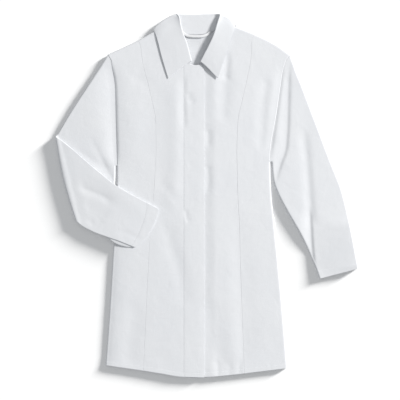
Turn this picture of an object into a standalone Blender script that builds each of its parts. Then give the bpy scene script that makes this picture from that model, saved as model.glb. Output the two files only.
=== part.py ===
"""A work coat laid flat on its back, one sleeve straight and the other bent back at the elbow.

Sizes are in millimetres until the last step, which turns them into metres. The centre line of the coat is
x = 0, +x is the wearer's left, +y runs from the hem to the collar and z = 0 is the surface it lies on.
"Right" and "left" are the wearer's.
"""

import math

import bmesh
import bpy
import numpy as np

# ------------------------------------------------------------------ driving sizes, in millimetres
CLOTH = 1.6  # the wall
SEAM = 0.34  # between two pieces at a seam
SHOULDER_SEAM = 0.55  # between the fronts and the back, whose seam curves round the shoulder
FLOOR = CLOTH / 2  # height of the middle of the cloth that lies on the surface
EDGE_ROUND = 7.0  # how far a folded edge swells outwards
FRONT_RISE = 6.3  # the front's height over the surface, at the sides
CROWN = 0.9  # added to it at the centre line
CROWN_WIDTH = 90.0
COLLAR_LIFT = 2.2  # the back's rise over the collar that lies under it
COLLAR_LIFT_RUN = 26.0  # it rises over this length
COLLAR_UNDER_Y = 374.0  # from here up the collar lies under the back
COLLAR_UNDER_X = 132.0  # this far to each side
UNDERLAP_DROP = 4.2  # the left front's drop under the right front, at the buttons
UNDERLAP_REACH = 5.5  # it stays down for this far past the right front's edge
UNDERLAP_RUN = 30.0  # and comes up over this length
LAP_EDGE = 22.5  # the right front's edge, from the centre line
LAP_BEND = 9.0  # it bends down from here
TOUCHING = 2.8  # the front's height where it touches the back
EDGE_DROP = 1.2  # how far the closing's upper edge bends down to the underlap
ROUND_BLEND = 0.6  # of its angle, over which the folds' normals fade into the rounded edge's
WRAP = EDGE_ROUND * math.pi  # cloth in a folded edge
OVER = WRAP - EDGE_ROUND  # a seam on the surface lies this far past the edge, unrolled
METRE = 0.001

# ------------------------------------------------------------------ outlines, from the hem up
# Seams run from the hem (level 0) to the shoulder seam (level 1). "over" is how far a point lies past the
# shoulder's edge once that edge is unrolled, so OVER puts it on the surface under the edge.
UNDERARM = 0.58  # level of the underarm point
CLIMB = 0.645  # level where the armhole seam has climbed to the top of the coat
SIDE_RIGHT = [  # level, x, y of the side's edge, seen from above
    (0.00, -222.5, -421.5),
    (0.16, -213, -290),
    (0.30, -204.5, -150),
    (0.42, -198.5, -62),
    (0.52, -195, 14),
    (UNDERARM, -194.5, 74),
]
SIDE_LEFT = [
    (0.00, 230, -428.5),
    (0.16, 219, -290),
    (0.30, 206, -150),
    (0.42, 197, -62),
    (0.52, 189.5, 20),
    (UNDERARM, 187.5, 84),
]
NOTCH_RADIUS = 2.2  # of the fold between sleeve and side
NOTCH_SHARE = 0.05  # share of a sleeve that turns about it
NOTCH_RIGHT = (-192.3 - 2 * NOTCH_RADIUS, 74, 0, 62, 146)  # centre x, y, angles: side, top of the seam, sleeve
NOTCH_LEFT = (185.3 + 2 * NOTCH_RADIUS, 84, 180, 122, 8)
ARMHOLE_RIGHT = [  # level, x, y, over, from the top of the climb
    (CLIMB + 0.03, -194.6, 118, 0),
    (0.74, -194.5, 190, 0),
    (0.84, -197, 272, 0),
    (0.91, -203.5, 316, 0),
    (0.945, -216.5, 354.6, -15),
    (0.965, -217.2, 354.2, -7),
    (1.00, -217.5, 354, OVER),
]
ARMHOLE_LEFT = [
    (CLIMB + 0.03, 184, 126, 0),
    (0.74, 190, 190, 0),
    (0.84, 203, 270, 0),
    (0.91, 217, 320, 0),
    (0.945, 236.5, 354.6, -15),
    (0.965, 237.2, 354.2, -7),
    (1.00, 237.5, 353.8, OVER),
]
PRINCESS_RIGHT = [  # level, x, y, over
    (0.00, -129, -434.5, 0),
    (0.16, -123.5, -310, 0),
    (0.30, -116.5, -170, 0),
    (0.42, -111, -70, 0),
    (0.52, -103.5, 5, 0),
    (UNDERARM, -100, 60, 0),
    (CLIMB, -97.5, 115, 0),
    (0.74, -98.5, 185, 0),
    (0.84, -113, 262, 0),
    (0.91, -130, 330, 0),
    (0.945, -142.3, 389, -15),
    (0.965, -142.5, 389, -7),
    (1.00, -142.5, 389, OVER),
]
PRINCESS_LEFT = [
    (0.00, 122.5, -441.5, 0),
    (0.16, 118, -310, 0),
    (0.30, 113, -170, 0),
    (0.42, 110.5, -70, 0),
    (0.52, 106.5, 5, 0),
    (UNDERARM, 105, 60, 0),
    (CLIMB, 104, 115, 0),
    (0.74, 106.5, 185, 0),
    (0.84, 122.5, 262, 0),
    (0.91, 138, 335, 0),
    (0.945, 147.5, 406, -15),
    (0.965, 148, 406, -7),
    (1.00, 148, 406, OVER),
]
LAP_LEVELS = [  # level, y: the straight edges of the closing
    (0.00, -451.5),
    (0.16, -310),
    (0.30, -185),
    (0.42, -85),
    (0.52, 0),
    (UNDERARM, 52),
    (CLIMB, 110),
    (0.74, 178),
    (0.84, 240),
    (0.91, 284),
    (0.945, 300),
    (0.965, 308),
    (1.00, 317),
]
HEM_RIGHT = [(-129, -434.5), (-80, -442.5), (-35, -449.5), (22.5, -451.5)]  # from the princess seam
HEM_LEFT = [(-22.5, -451.5), (25, -450.5), (75, -446.5), (122.5, -441.5)]
HEM_BACK = [(-215, -422), (-129, -434), (0, -453), (122, -441), (223, -429)]

SHOULDER_RIGHT = [  # x, y of the shoulder's edge, from the sleeve to the neck
    (-262, 331),
    (-217.5, 354),
    (-180, 371.5),
    (-142.5, 389),
    (-97.5, 413.8),
    (-72, 427),
    (-30, 449),
]
SHOULDER_LEFT = [
    (282, 331),
    (237.5, 353.8),
    (205, 377),
    (148, 405.5),
    (95, 426),
    (72, 435),
    (30, 451),
]
BACK_ARMHOLE_RISE = 22.0  # the back's edge runs straight up this far from the underarm
BACK_TIP_DROP = 16.0  # and nears the shoulder's tip from this far under the edge
NECK_RIGHT = [  # share, x, y, over: the front's neckline from the collar's end to the shoulder seam
    (0.00, -12.5, 331.5, 0),
    (0.22, -30, 340, 0),
    (0.45, -48, 360, 0),
    (0.66, -60, 386, 0),
    (0.80, -79, 423.2, -17),
    (0.87, -79, 423.2, -9),
    (1.00, -79, 423.2, OVER),
]
NECK_LEFT = [
    (0.00, 12.5, 331.5, 0),
    (0.22, 30, 341, 0),
    (0.45, 48, 362, 0),
    (0.66, 60, 389, 0),
    (0.80, 79, 432.5, -17),
    (0.87, 79, 432.5, -9),
    (1.00, 79, 432.5, OVER),
]
LAP_TOP = [(-12.5, 331.5), (0, 327.5), (11, 328.5), (19, 325), (22.5, 317)]  # of the closing's upper layer
UNDERLAP_TOP = [(-22.5, 317), (-19, 325), (-8, 329), (2, 328), (12.5, 331.5)]
BACK_NECK = [(-50, 410), (-27, 404.5), (0, 403), (27, 405), (50, 414)]  # between the shoulder seams

# Shares of a centre front's width, at its top, taken by the shoulder, the neckline and the closing.
TOP_SHARES = (0.27, 0.53, 0.20)

# ------------------------------------------------------------------ folds of the front and straight sleeve
# Each is a ridge (height over 0) or a trough (under 0) along a line, with its own width on each side.
FOLD_TAPER = 0.2  # share of its length over which a fold fades in and out
FOLDS = [  # name, points, width to the -x side, width to the +x side, height at the start, at the end
    ("trough under the collar", [(85, 372), (86, 310), (76, 262), (71, 180)], 22, 14, -2.0, -2.2),
    ("ridge beside the closing", [(-50, 310), (-48, 190), (-50, 60), (-56, -60)], 20, 17, 2.2, 1.8),
    ("trough from the cuff", [(-84, -40), (-64, -110), (-40, -184), (-24, -290)], 16, 20, -1.8, -1.6),
    ("low corner of the left front", [(44, -250), (50, -350), (66, -452)], 20, 30, -0.9, -2.4),
    ("trough beside the left seam", [(124, -90), (131, -250), (140, -460)], 9, 22, -0.9, -3.0),
    ("ridge at the left side", [(178, -60), (186, -250), (196, -450)], 22, 16, 0.8, 1.6),
    ("trough at the left bust", [(184, 312), (172, 216), (166, 100)], 14, 12, -1.8, -1.5),
    ("soft rise of the right bust", [(-140, 250), (-150, 130), (-150, 0)], 34, 34, 1.0, 0.8),
    ("trough at the right hem", [(-150, -250), (-166, -440)], 20, 26, -0.7, -1.6),
    ("left armhole", [(250, 372), (219, 320), (204, 272), (190, 190), (183, 104)], 14, 11, -3.0, -3.0),
    ("right armhole", [(-225, 380), (-204, 316), (-197, 272), (-194.5, 190), (-194, 84)], 8, 20, -3.2, -3.3),
    ("long fold of the left sleeve", [(247, 338), (241, 235), (232, 140), (206, 20)], 11, 12, -2.4, -3.0),
    ("crown of the left sleeve", [(262, 300), (292, 180), (318, 60), (340, -40)], 18, 26, 1.8, 2.4),
    ("trough of the left forearm", [(276, 175), (284, 80), (290, -20), (296, -90)], 12, 10, -1.0, -2.4),
    ("crease at the left cuff", [(288, -60), (299, -120), (306, -200)], 9, 8, -1.8, -1.7),
    ("left cuff falls away", [(290, -222), (430, -186)], 40, 60, -1.4, -1.8),
]
ARM_FOLDS = [  # the same for the right upper arm, over its own height
    ("crook of the elbow", [(-244, 96), (-216, 62), (-200, 34)], 12, 12, -0.9, -1.6),
    ("ridge of the upper arm", [(-246, 290), (-262, 200), (-280, 140)], 30, 34, 0.7, 0.5),
]
FOREARM_FOLDS = [  # and for the right forearm
    ("long crease", [(-300, 30), (-235, 0), (-196, -20)], 11, 12, -2.2, -1.6),
    ("low edge", [(-272, 2), (-225, -66)], 26, 28, -1.2, -1.6),
    ("ridge to the cuff", [(-290, 70), (-225, 40), (-160, -16), (-120, -52)], 20, 24, 1.4, 0.8),
]

# ------------------------------------------------------------------ sleeves
# Each row is one section of the lying tube: its two edges, seen from above, and how far they swell. The
# right sleeve's rows also give the heights of its back and front, and how far it has turned at the elbow.
SLEEVE_LEFT = [  # share of the length, inner x, y, outer x, y, swell
    (0.00, 191.9, 84, 237.5, 353.8, 7.0),
    (NOTCH_SHARE, 191.9, 83, 252, 314, 7.0),
    (0.10, 193.0, 66, 267, 277, 7.0),
    (0.22, 196.5, 38, 300, 190, 7.0),
    (0.38, 207, 8, 337, 92, 7.0),
    (0.52, 231, -38, 367, 14, 7.0),
    (0.68, 260, -88, 385.5, -62, 6.5),
    (0.82, 283, -133, 396.5, -118, 6.0),
    (0.92, 297, -165, 402.5, -152, 5.5),
    (1.00, 311.5, -205, 407.5, -179.5, 5.0),
]
SLEEVE_RIGHT = [  # share, inner x, y, outer x, y, swell, height of its back, of its front, turn in degrees
    (0.00, -198.9, 74, -217.5, 354, 7.0, 0.8, 6.2, 0),
    (NOTCH_SHARE, -198.9, 72, -234, 327, 6.8, 0.8, 6.2, 0),
    (0.10, -198.8, 52, -249, 304, 6.5, 0.8, 6.2, 0),
    (0.19, -200.5, 27, -275, 264, 5.5, 0.8, 6.0, 0),
    (0.28, -226, -2, -303, 221, 4.5, 0.8, 5.6, 0),
    (0.36, -253, -30, -326, 183, 3.5, 0.8, 5.0, 0),
    (0.42, -273, -56, -340, 158, 3.0, 0.8, 4.4, 0),
    (0.46, -279, -62, -342.5, 154, 3.0, 0.8, 4.2, 40),
    (0.50, -282.5, -66, -343.5, 151, 3.0, 0.8, 4.2, 90),
    (0.54, -280, -70, -342.5, 148, 3.0, 0.8, 4.2, 140),
    (0.58, -273, -75, -335, 142, 3.5, 10.0, 6.6, 180),
    (0.65, -252, -88, -309, 121, 5.0, 12.2, 7.6, 180),
    (0.73, -231, -96, -276, 92, 6.0, 13.8, 8.4, 180),
    (0.81, -208, -104, -238, 60, 6.5, 15.0, 9.6, 180),
    (0.88, -188, -111, -196, 27, 6.5, 15.4, 10.0, 180),
    (0.94, -168, -119, -142, -4, 6.0, 15.2, 10.0, 180),
    (1.00, -150, -126, -93, -29, 5.0, 14.6, 9.8, 180),
]
BEND_AXIS = 5.4  # height of the line that the right sleeve bends about
BEND_FROM = 0.42  # it bends between these shares of its length
BEND_TO = 0.58
BEND_EASE = 0.06  # its edges turn into the bend over this share
FOLD_EASE = 0.1  # and its folds fade out towards the bend over this one
JOIN_SHARE = 0.26  # a sleeve's sections have settled into its tube by this share
INNER_EASE = 0.08  # its inner edge leaves the notch over this share
OUTER_EASE = 0.07  # and its outer edge the shoulder's tip over this one

# ------------------------------------------------------------------ collar
# "turn" is how far the collar's roll has turned over: 0 where its fall lies on top, as at the front, 180
# where it lies underneath, as at the back.
COLLAR_RIGHT = [  # share from its end to the centre back, roll x, y, z, turn, belly, outer edge x, y, z
    (0.00, -8.5, 336.5, 12.5, 0, 0, -66.5, 294.5, 11.0),
    (0.13, -16, 358, 16.5, 0, 1, -75, 322, 11.2),
    (0.27, -24, 384, 19.5, 0, 2, -84, 353, 11.2),
    (0.40, -33, 411, 20.5, 8, 2, -91.5, 383, 11.0),
    (0.50, -38, 438, 18.5, 35, 4, -98, 405, 10.6),
    (0.585, -53, 454, 11.5, 95, 5, -103, 418, 5.5),
    (0.62, -53, 454.5, 6.5, 135, 4, -103, 417, 1.0),
    (0.67, -46, 454.5, 2.2, 172, 2, -94, 409, 0.8),
    (0.82, -24, 453.5, 2.2, 180, 0, -52, 399.5, 0.8),
    (1.00, 0, 452.5, 2.2, 180, 0, 0, 396.5, 0.8),
]
COLLAR_LEFT = [
    (0.00, 9.5, 336, 13.0, 0, 0, 55.5, 294.5, 11.0),
    (0.13, 13.5, 354, 17.5, 0, 1, 64, 322, 11.2),
    (0.27, 17, 379, 21.0, 0, 2, 75, 353, 11.2),
    (0.40, 24, 406, 22.0, 8, 2, 86.5, 387, 11.2),
    (0.50, 38, 434, 19.5, 35, 2, 96, 411, 11.2),
    (0.585, 60, 453.5, 11.5, 95, 1, 102, 427.5, 6.0),
    (0.62, 58, 454, 6.5, 135, 1, 103.5, 426, 1.0),
    (0.67, 49, 454.5, 2.2, 172, 1, 95, 418, 0.8),
    (0.82, 25, 454, 2.2, 180, 0, 52, 403, 0.8),
    (1.00, 0, 452.5, 2.2, 180, 0, 0, 396.5, 0.8),
]
FRONT_SHARE = 0.62  # share of a collar half that is sewn to the front
ROLL_RADIUS = 1.3
STAND_PULL = 0.6  # how far the stand and the fall keep their directions, as shares of their length
FALL_PULL = 0.8
NECK_GAP = 0.6  # between the collar and the neckline

# ------------------------------------------------------------------ loop and buttons
LOOP = [  # x, y, z along the middle of the tape
    (-38, 416, 4.9),
    (-31, 409, 5.0),
    (-20, 402, 6.0),
    (-4, 399.5, 6.6),
    (14, 399.5, 6.6),
    (28, 403, 6.0),
    (40, 412, 5.0),
]
LOOP_STEPS = 20
LOOP_WIDTH = 6.5
LOOP_THICK = 1.0
BUTTON_LEVELS = (290, 185, 80, -25, -130)
BUTTON_X = -2.0
BUTTON_RADIUS = 7.0
BUTTON_THICK = 1.8
BUTTON_BEVEL = 0.4

# ------------------------------------------------------------------ how finely each piece is divided
ROWS_LOW = 13
ROWS_CLIMB = 4
ROWS_MID = 8
ROWS_TOP = (0.945, 0.958, 0.968, 0.977, 0.986, 0.993, 1.0)
SHIFT_FROM = 0.7  # the rows bend to the shoulder's line from this level up
SIDE_FLAT = 6
SIDE_ROUND = 5
NECK_SHARES = (0, 0.13, 0.27, 0.41, 0.55, 0.68, 0.79, 0.87, 0.94, 1.0)
SHOULDER_COLUMNS = 4
LAP_COLUMNS = 4
BACK_HIGH = 8  # rows of the back over the underarm
SLEEVE_START = (0, 0.008, 0.02, 0.035, 0.05, 0.075, 0.10, 0.14, 0.19, 0.25)
STRAIGHT = (0.31, 0.37, 0.43, 0.49, 0.55, 0.62, 0.70, 0.78, 0.86, 0.93, 1.0)
BEND = (0.31, 0.37, 0.42, 0.44, 0.46, 0.48, 0.50, 0.52, 0.54, 0.56, 0.58)
FOREARM = (0.63, 0.68, 0.73, 0.78, 0.83, 0.88, 0.94, 1.0)
BACK_COLUMNS = (7, 8, 7)  # shoulder, neck, shoulder
SHOULDER_STEPS = 60
FOLD_STEPS = 25
STAND_STEPS = 4
FALL_STEPS = 6
ROLL_STEPS = 4


# ------------------------------------------------------------------ curves


def along(rows, at):
    """Reads rows of (level, values...) at the levels, on a smooth curve that never overshoots its rows."""
    table = np.array(rows, float)
    knots = table[:, 0]
    values = table[:, 1:]
    at = np.asarray(at, float)
    step = np.diff(knots)[:, None]
    slope = np.diff(values, axis=0) / step
    tangent = np.zeros_like(values)
    tangent[0] = slope[0]
    tangent[-1] = slope[-1]
    before = slope[:-1]
    after = slope[1:]
    heavy = 2 * step[1:] + step[:-1]
    light = step[1:] + 2 * step[:-1]
    same = before * after > 0
    safe_before = np.where(same, before, 1.0)
    safe_after = np.where(same, after, 1.0)
    mean = (heavy + light) / (heavy / safe_before + light / safe_after)
    tangent[1:-1] = np.where(same, mean, 0.0)
    i = np.clip(np.searchsorted(knots, at, side="right") - 1, 0, len(knots) - 2)
    t = ((at - knots[i]) / (knots[i + 1] - knots[i]))[..., None]
    h = step[i]
    near = values[i] * (1 + 2 * t) * (1 - t) ** 2 + tangent[i] * h * t * (1 - t) ** 2
    far = values[i + 1] * t**2 * (3 - 2 * t) + tangent[i + 1] * h * t**2 * (t - 1)
    return near + far


def through(points, shares):
    """A smooth curve through the points, read at shares of its length."""
    points = np.array(points, float)
    length = np.concatenate([[0], np.cumsum(np.linalg.norm(np.diff(points, axis=0), axis=1))])
    rows = np.column_stack([length / length[-1], points])
    return along(rows, shares)


def unit(vectors):
    """The vectors at length 1."""
    return vectors / np.maximum(np.linalg.norm(vectors, axis=-1, keepdims=True), 1e-12)


def ease(value):
    """0 under 0, 1 over 1, and smooth between."""
    value = np.clip(value, 0, 1)
    return value * value * (3 - 2 * value)


def edge_line(shoulder):
    """A shoulder's edge as a fine line."""
    return through(shoulder, np.linspace(0, 1, SHOULDER_STEPS))


def nearest(line, points):
    """For each point: the index of the nearest stretch of the line, the place along it and the foot."""
    start = line[:-1]
    run = line[1:] - start
    squared = (run**2).sum(1)
    offset = points[:, None, :] - start[None]
    place = np.clip((offset * run).sum(2) / squared, 0, 1)
    away = np.linalg.norm(offset - place[..., None] * run, axis=2)
    index = away.argmin(1)
    rows = np.arange(len(points))
    place = place[rows, index]
    foot = start[index] + place[:, None] * run[index]
    return index, place, foot


# ------------------------------------------------------------------ heights


def fold_sum(folds, xy):
    """The folds' heights at the points."""
    flat = xy.reshape(-1, 2)
    total = np.zeros(len(flat))
    for _, points, width_less, width_more, height_start, height_end in folds:
        line = through(points, np.linspace(0, 1, FOLD_STEPS))
        index, place, foot = nearest(line, flat)
        share = (index + place) / (len(line) - 1)
        across = unit((line[1:] - line[:-1])[index])
        normal = np.column_stack([across[:, 1], -across[:, 0]])
        normal *= np.where(normal[:, :1] < 0, -1.0, 1.0)
        offset = flat - foot
        side = (offset * normal).sum(1)
        width = np.where(side < 0, width_less, width_more)
        height = height_start + (height_end - height_start) * share
        height *= ease(share / FOLD_TAPER) * ease((1 - share) / FOLD_TAPER)
        total += height * np.exp(-((offset**2).sum(1)) / width**2)
    return total.reshape(xy.shape[:-1])


def top_height(xy):
    """The middle of the front's cloth over the surface."""
    crown = CROWN * np.exp(-((xy[..., 0] / CROWN_WIDTH) ** 2))
    return np.maximum(FRONT_RISE + crown + fold_sum(FOLDS, xy), TOUCHING)


def lap_height(xy):
    """The same for the right front, whose free edge bends down to the underlap."""
    return top_height(xy) - EDGE_DROP * ease((xy[..., 0] - LAP_BEND) / (LAP_EDGE - LAP_BEND))


def underlap_height(xy):
    """The same for the left front, which passes under the right front at the closing."""
    rise = ease((xy[..., 0] - LAP_EDGE - UNDERLAP_REACH) / UNDERLAP_RUN)
    return np.maximum(top_height(xy) - UNDERLAP_DROP * (1 - rise), TOUCHING)


def back_height(xy):
    """The back lies on the surface, and on the collar's fall near the neck."""
    near = ease((xy[..., 1] - COLLAR_UNDER_Y) / COLLAR_LIFT_RUN)
    beside = ease((COLLAR_UNDER_X - np.abs(xy[..., 0])) / COLLAR_LIFT_RUN)
    return FLOOR + COLLAR_LIFT * near * beside


def roll(points, shoulder, height):
    """Lays points of the unrolled cloth over the shoulder's edge: their places on the lying coat."""
    flat = points.reshape(-1, 2)
    line = edge_line(shoulder)
    run = unit(np.gradient(line, axis=0))
    up = np.column_stack([-run[:, 1], run[:, 0]])
    up *= np.where(up[:, 1:] < 0, -1.0, 1.0)
    index, place, foot = nearest(line, flat)
    normal = unit(up[index] + (up[index + 1] - up[index]) * place[:, None])
    out = ((flat - foot) * normal).sum(1)
    past = out + EDGE_ROUND
    turn = np.clip(past / EDGE_ROUND, 0, math.pi)
    brink = flat - normal * np.maximum(past, 0)[:, None]
    high = height(brink)
    low = back_height(brink)
    swell = EDGE_ROUND * np.sin(turn) - np.maximum(past - WRAP, 0)
    xy = brink + normal * swell[:, None]
    z = (high + low) / 2 + (high - low) / 2 * np.cos(turn)
    return np.column_stack([xy, z]).reshape(points.shape[:-1] + (3,))


def rolled(points, shoulder, height, reach=0.4):
    """roll, with the cloth's normals."""
    right = np.array([reach, 0.0])
    up = np.array([0.0, reach])
    place = roll(points, shoulder, height)
    across = roll(points + right, shoulder, height) - roll(points - right, shoulder, height)
    upwards = roll(points + up, shoulder, height) - roll(points - up, shoulder, height)
    return place, unit(np.cross(across, upwards))


# ------------------------------------------------------------------ seams


def shoulder_normals(points, shoulder):
    """Unit vectors in plan, square to the shoulder's edge."""
    line = edge_line(shoulder)
    index, _, _ = nearest(line, points)
    run = unit((line[1:] - line[:-1])[index])
    up = np.column_stack([-run[:, 1], run[:, 0]])
    return up * np.where(up[:, 1:] < 0, -1.0, 1.0)


def over_shoulder(points, over, shoulder):
    """The points, moved straight in or out until they lie so far over the shoulder's edge."""
    line = edge_line(shoulder)
    _, _, foot = nearest(line, points)
    return foot + shoulder_normals(foot, shoulder) * np.broadcast_to(over, len(points))[:, None]


def unrolled(rows, at, shoulder):
    """A seam of (level, x, y, over) at the levels, in the plane of the unrolled cloth."""
    values = along(rows, at)
    return values[:, :2] + shoulder_normals(values[:, :2], shoulder) * values[:, 2:3]


def heading(degrees):
    """Unit vectors in plan at the angles."""
    angle = np.radians(degrees)
    return np.stack([np.cos(angle), np.sin(angle)], axis=-1)


def brink(levels, side, notch, armhole, shoulder):
    """Where the side's edge starts to round, its outward direction and how much cloth it has from there.

    Up to the underarm it rounds right down to the side seam. Above it the armhole seam climbs back to the
    top of the coat while it turns about the notch, and then runs over it to the shoulder.
    """
    levels = np.asarray(levels, float)
    low = levels <= UNDERARM
    high = levels >= CLIMB
    edge = along(side, np.minimum(levels, UNDERARM))
    ahead = along(side, np.minimum(levels, UNDERARM - 0.01) + 0.005)
    behind = along(side, np.minimum(levels, UNDERARM - 0.01) - 0.005)
    run = unit(ahead - behind)
    outward = np.column_stack([run[:, 1], -run[:, 0]])
    outward *= np.where(outward[:, 0] * edge[:, 0] < 0, -1.0, 1.0)[:, None]
    share = np.clip((levels - UNDERARM) / (CLIMB - UNDERARM), 0, 1)
    x, y, start, top, _ = notch
    ray = heading(start + (top - start) * share)
    centre = np.array([x, y])
    about = centre + ray * (NOTCH_RADIUS + EDGE_ROUND)
    place = np.where(low[:, None], edge - outward * EDGE_ROUND, about)
    outward = np.where(low[:, None], outward, -ray)
    end = centre + heading(top) * (NOTCH_RADIUS + EDGE_ROUND)
    rows = [(CLIMB, end[0], end[1], 0)] + list(armhole)
    seam = unrolled(rows, np.maximum(levels, CLIMB), shoulder)
    place = np.where(high[:, None], seam, place)
    cloth = WRAP * (1 - share)
    return place, outward, cloth


# ------------------------------------------------------------------ panels: their points and normals


def front_levels():
    """Levels of the fronts' rows."""
    low = np.linspace(0, UNDERARM, ROWS_LOW + 1)[:-1]
    climb = np.linspace(UNDERARM, CLIMB, ROWS_CLIMB + 1)[:-1]
    mid = np.linspace(CLIMB, ROWS_TOP[0], ROWS_MID + 1)[:-1]
    return np.concatenate([low, climb, mid, ROWS_TOP])


def back_levels():
    """Levels of the back's rows."""
    low = np.linspace(0, UNDERARM, ROWS_LOW + 1)[:-1]
    high = np.linspace(UNDERARM, 1, BACK_HIGH + 1)
    return np.concatenate([low, high])


def side_front(sign, levels):
    """A side front: points and normals, [column, row], from the princess seam to the side."""
    if sign < 0:
        princess, side, notch, armhole, shoulder = (
            PRINCESS_RIGHT, SIDE_RIGHT, NOTCH_RIGHT, ARMHOLE_RIGHT, SHOULDER_RIGHT
        )
    else:
        princess, side, notch, armhole, shoulder = (
            PRINCESS_LEFT, SIDE_LEFT, NOTCH_LEFT, ARMHOLE_LEFT, SHOULDER_LEFT
        )
    start = unrolled(princess, levels, shoulder) + np.array([sign * SEAM / 2, 0])
    end, outward, cloth = brink(levels, side, notch, armhole, shoulder)
    rounded = cloth / WRAP
    share = np.linspace(0, 1, SIDE_FLAT + SIDE_ROUND + 1)[:, None]
    flat_part = 1 - rounded * SIDE_ROUND / (SIDE_FLAT + SIDE_ROUND)
    on_top = np.minimum(share / flat_part, 1)[..., None]
    plan = start + (end - start) * on_top
    over = along(princess, levels)[:, 2]
    for column in plan:
        straight = column[-len(ROWS_TOP) :].copy()
        column[-len(ROWS_TOP) :] = over_shoulder(straight, over[-len(ROWS_TOP) :], shoulder)
        shift = column[-len(ROWS_TOP)] - straight[0]
        below = slice(0, -len(ROWS_TOP))
        column[below] += shift * ease((levels[below] - SHIFT_FROM) / (ROWS_TOP[0] - SHIFT_FROM))[:, None]
    place, normal = rolled(plan, shoulder, top_height)
    past = np.maximum(share - flat_part, 0) / np.maximum(1 - flat_part, 1e-9) * cloth
    past = np.where(rounded > 0, past, 0)
    turn = past / EDGE_ROUND
    high = place[..., 2]
    half = (high - back_height(plan)) / 2
    around = place.copy()
    around[..., :2] += outward * (EDGE_ROUND * np.sin(turn))[..., None]
    around[..., 2] = high - half * (1 - np.cos(turn))
    sideways = half * np.sin(turn)
    round_normal = np.concatenate(
        [outward * sideways[..., None], (EDGE_ROUND * np.cos(turn))[..., None]], axis=2
    )
    weight = ease(turn / ROUND_BLEND)[..., None]
    normal = unit(normal * (1 - weight) + unit(round_normal) * weight)
    return np.where((turn > 0)[..., None], around, place), normal


def patch(left, right, bottom, top, across, upwards, fade=1):
    """A plan between four edges: left and right [row], bottom and top [column].

    What the side edges deviate from straight fades out across it with the power "fade".
    """
    up = upwards[:, None]
    over = across[:, None]
    left_shift = left - (1 - up) * left[0] - up * left[-1]
    right_shift = right - (1 - up) * right[0] - up * right[-1]
    top_shift = top - (1 - over) * left[-1] - over * right[-1]
    bottom_shift = bottom - (1 - over) * left[0] - over * right[0]
    over = over[:, None]
    plan = (1 - over) * ((1 - up) * left[0] + up * left[-1]) + over * ((1 - up) * right[0] + up * right[-1])
    plan = plan + (1 - over) ** fade * left_shift + over**fade * right_shift
    return plan + (1 - up) * bottom_shift[:, None] + up * top_shift[:, None]


def centre_front(sign, levels):
    """A centre front: points and normals, [column, row], from the princess seam to the closing's edge."""
    if sign < 0:
        princess, shoulder, neck, hem, top = PRINCESS_RIGHT, SHOULDER_RIGHT, NECK_RIGHT, HEM_RIGHT, LAP_TOP
        height = lap_height
    else:
        princess, shoulder, neck, hem, top = (
            PRINCESS_LEFT, SHOULDER_LEFT, NECK_LEFT, HEM_LEFT[::-1], UNDERLAP_TOP[::-1]
        )
        height = underlap_height
    for_shoulder, for_neck, for_lap = TOP_SHARES
    shoulder_columns = np.linspace(0, 1, SHOULDER_COLUMNS + 1)[:-1]
    neck_columns = 1 - np.array(NECK_SHARES[::-1])
    lap_columns = np.linspace(0, 1, LAP_COLUMNS + 1)[1:]
    across = np.concatenate(
        [
            shoulder_columns * for_shoulder,
            for_shoulder + neck_columns * for_neck,
            for_shoulder + for_neck + lap_columns * for_lap,
        ]
    )
    seam = unrolled(princess, levels, shoulder) - np.array([sign * SEAM / 2, 0])
    neckline = unrolled(neck, np.array(NECK_SHARES[::-1]), shoulder)
    straight = seam[-1] + (neckline[0] - seam[-1]) * shoulder_columns[:, None]
    over = np.full(SHOULDER_COLUMNS, OVER)
    above = np.concatenate([over_shoulder(straight, over, shoulder), neckline, through(top, lap_columns)])
    below = through(hem, across)
    below[0] = seam[0]
    edge = np.column_stack([np.full(len(levels), -sign * LAP_EDGE), along(LAP_LEVELS, levels)[:, 0]])
    plan = patch(seam, edge, below, above, across, levels, fade=2)
    return rolled(plan, shoulder, height)


def back_panel(levels):
    """The back: points, [column, row], from the wearer's right to the left."""
    edges = []
    for sign in (-1, 1):
        side, notch, armhole, shoulder = (
            (SIDE_RIGHT, NOTCH_RIGHT, ARMHOLE_RIGHT, SHOULDER_RIGHT)
            if sign < 0
            else (SIDE_LEFT, NOTCH_LEFT, ARMHOLE_LEFT, SHOULDER_LEFT)
        )
        place, outward, _ = brink(np.minimum(levels, UNDERARM), side, notch, armhole, shoulder)
        place = place - outward * SEAM
        x, y = place[-1]
        rows = [(UNDERARM, x, y, 0), (CLIMB, x, y + BACK_ARMHOLE_RISE, 0)]
        rows += armhole[1:-3]
        tip = armhole[-1]
        rows += [(ROWS_TOP[0], tip[1], tip[2], -BACK_TIP_DROP)]
        rows += [(1.0, tip[1], tip[2], -EDGE_ROUND - SHOULDER_SEAM)]
        upper = unrolled(rows, np.maximum(levels, UNDERARM), shoulder)
        edges.append(np.where((levels > UNDERARM)[:, None], upper, place))
    left, right = edges
    first, middle, last = BACK_COLUMNS
    under = -EDGE_ROUND - SHOULDER_SEAM
    ends = [
        over_shoulder(np.array([rows[-1][1:3]], float), under, shoulder)[0]
        for rows, shoulder in ((NECK_RIGHT, SHOULDER_RIGHT), (NECK_LEFT, SHOULDER_LEFT))
    ]
    neck = through([ends[0], *BACK_NECK, ends[1]], np.linspace(0, 1, middle + 1))
    start = left[-1] + (neck[0] - left[-1]) * np.linspace(0, 1, first + 1)[:-1, None]
    start = over_shoulder(start, under, SHOULDER_RIGHT)
    end = neck[-1] + (right[-1] - neck[-1]) * np.linspace(0, 1, last + 1)[1:, None]
    end = over_shoulder(end, under, SHOULDER_LEFT)
    above = np.concatenate([start, neck, end])
    run = np.abs(above[:, 0] - above[0, 0])
    across = run / run[-1]
    below = through(HEM_BACK, across)
    below[0] = left[0]
    below[-1] = right[0]
    plan = patch(left, right, below, above, across, levels)
    place = np.concatenate([plan, back_height(plan)[..., None]], axis=2)
    return place


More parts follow.
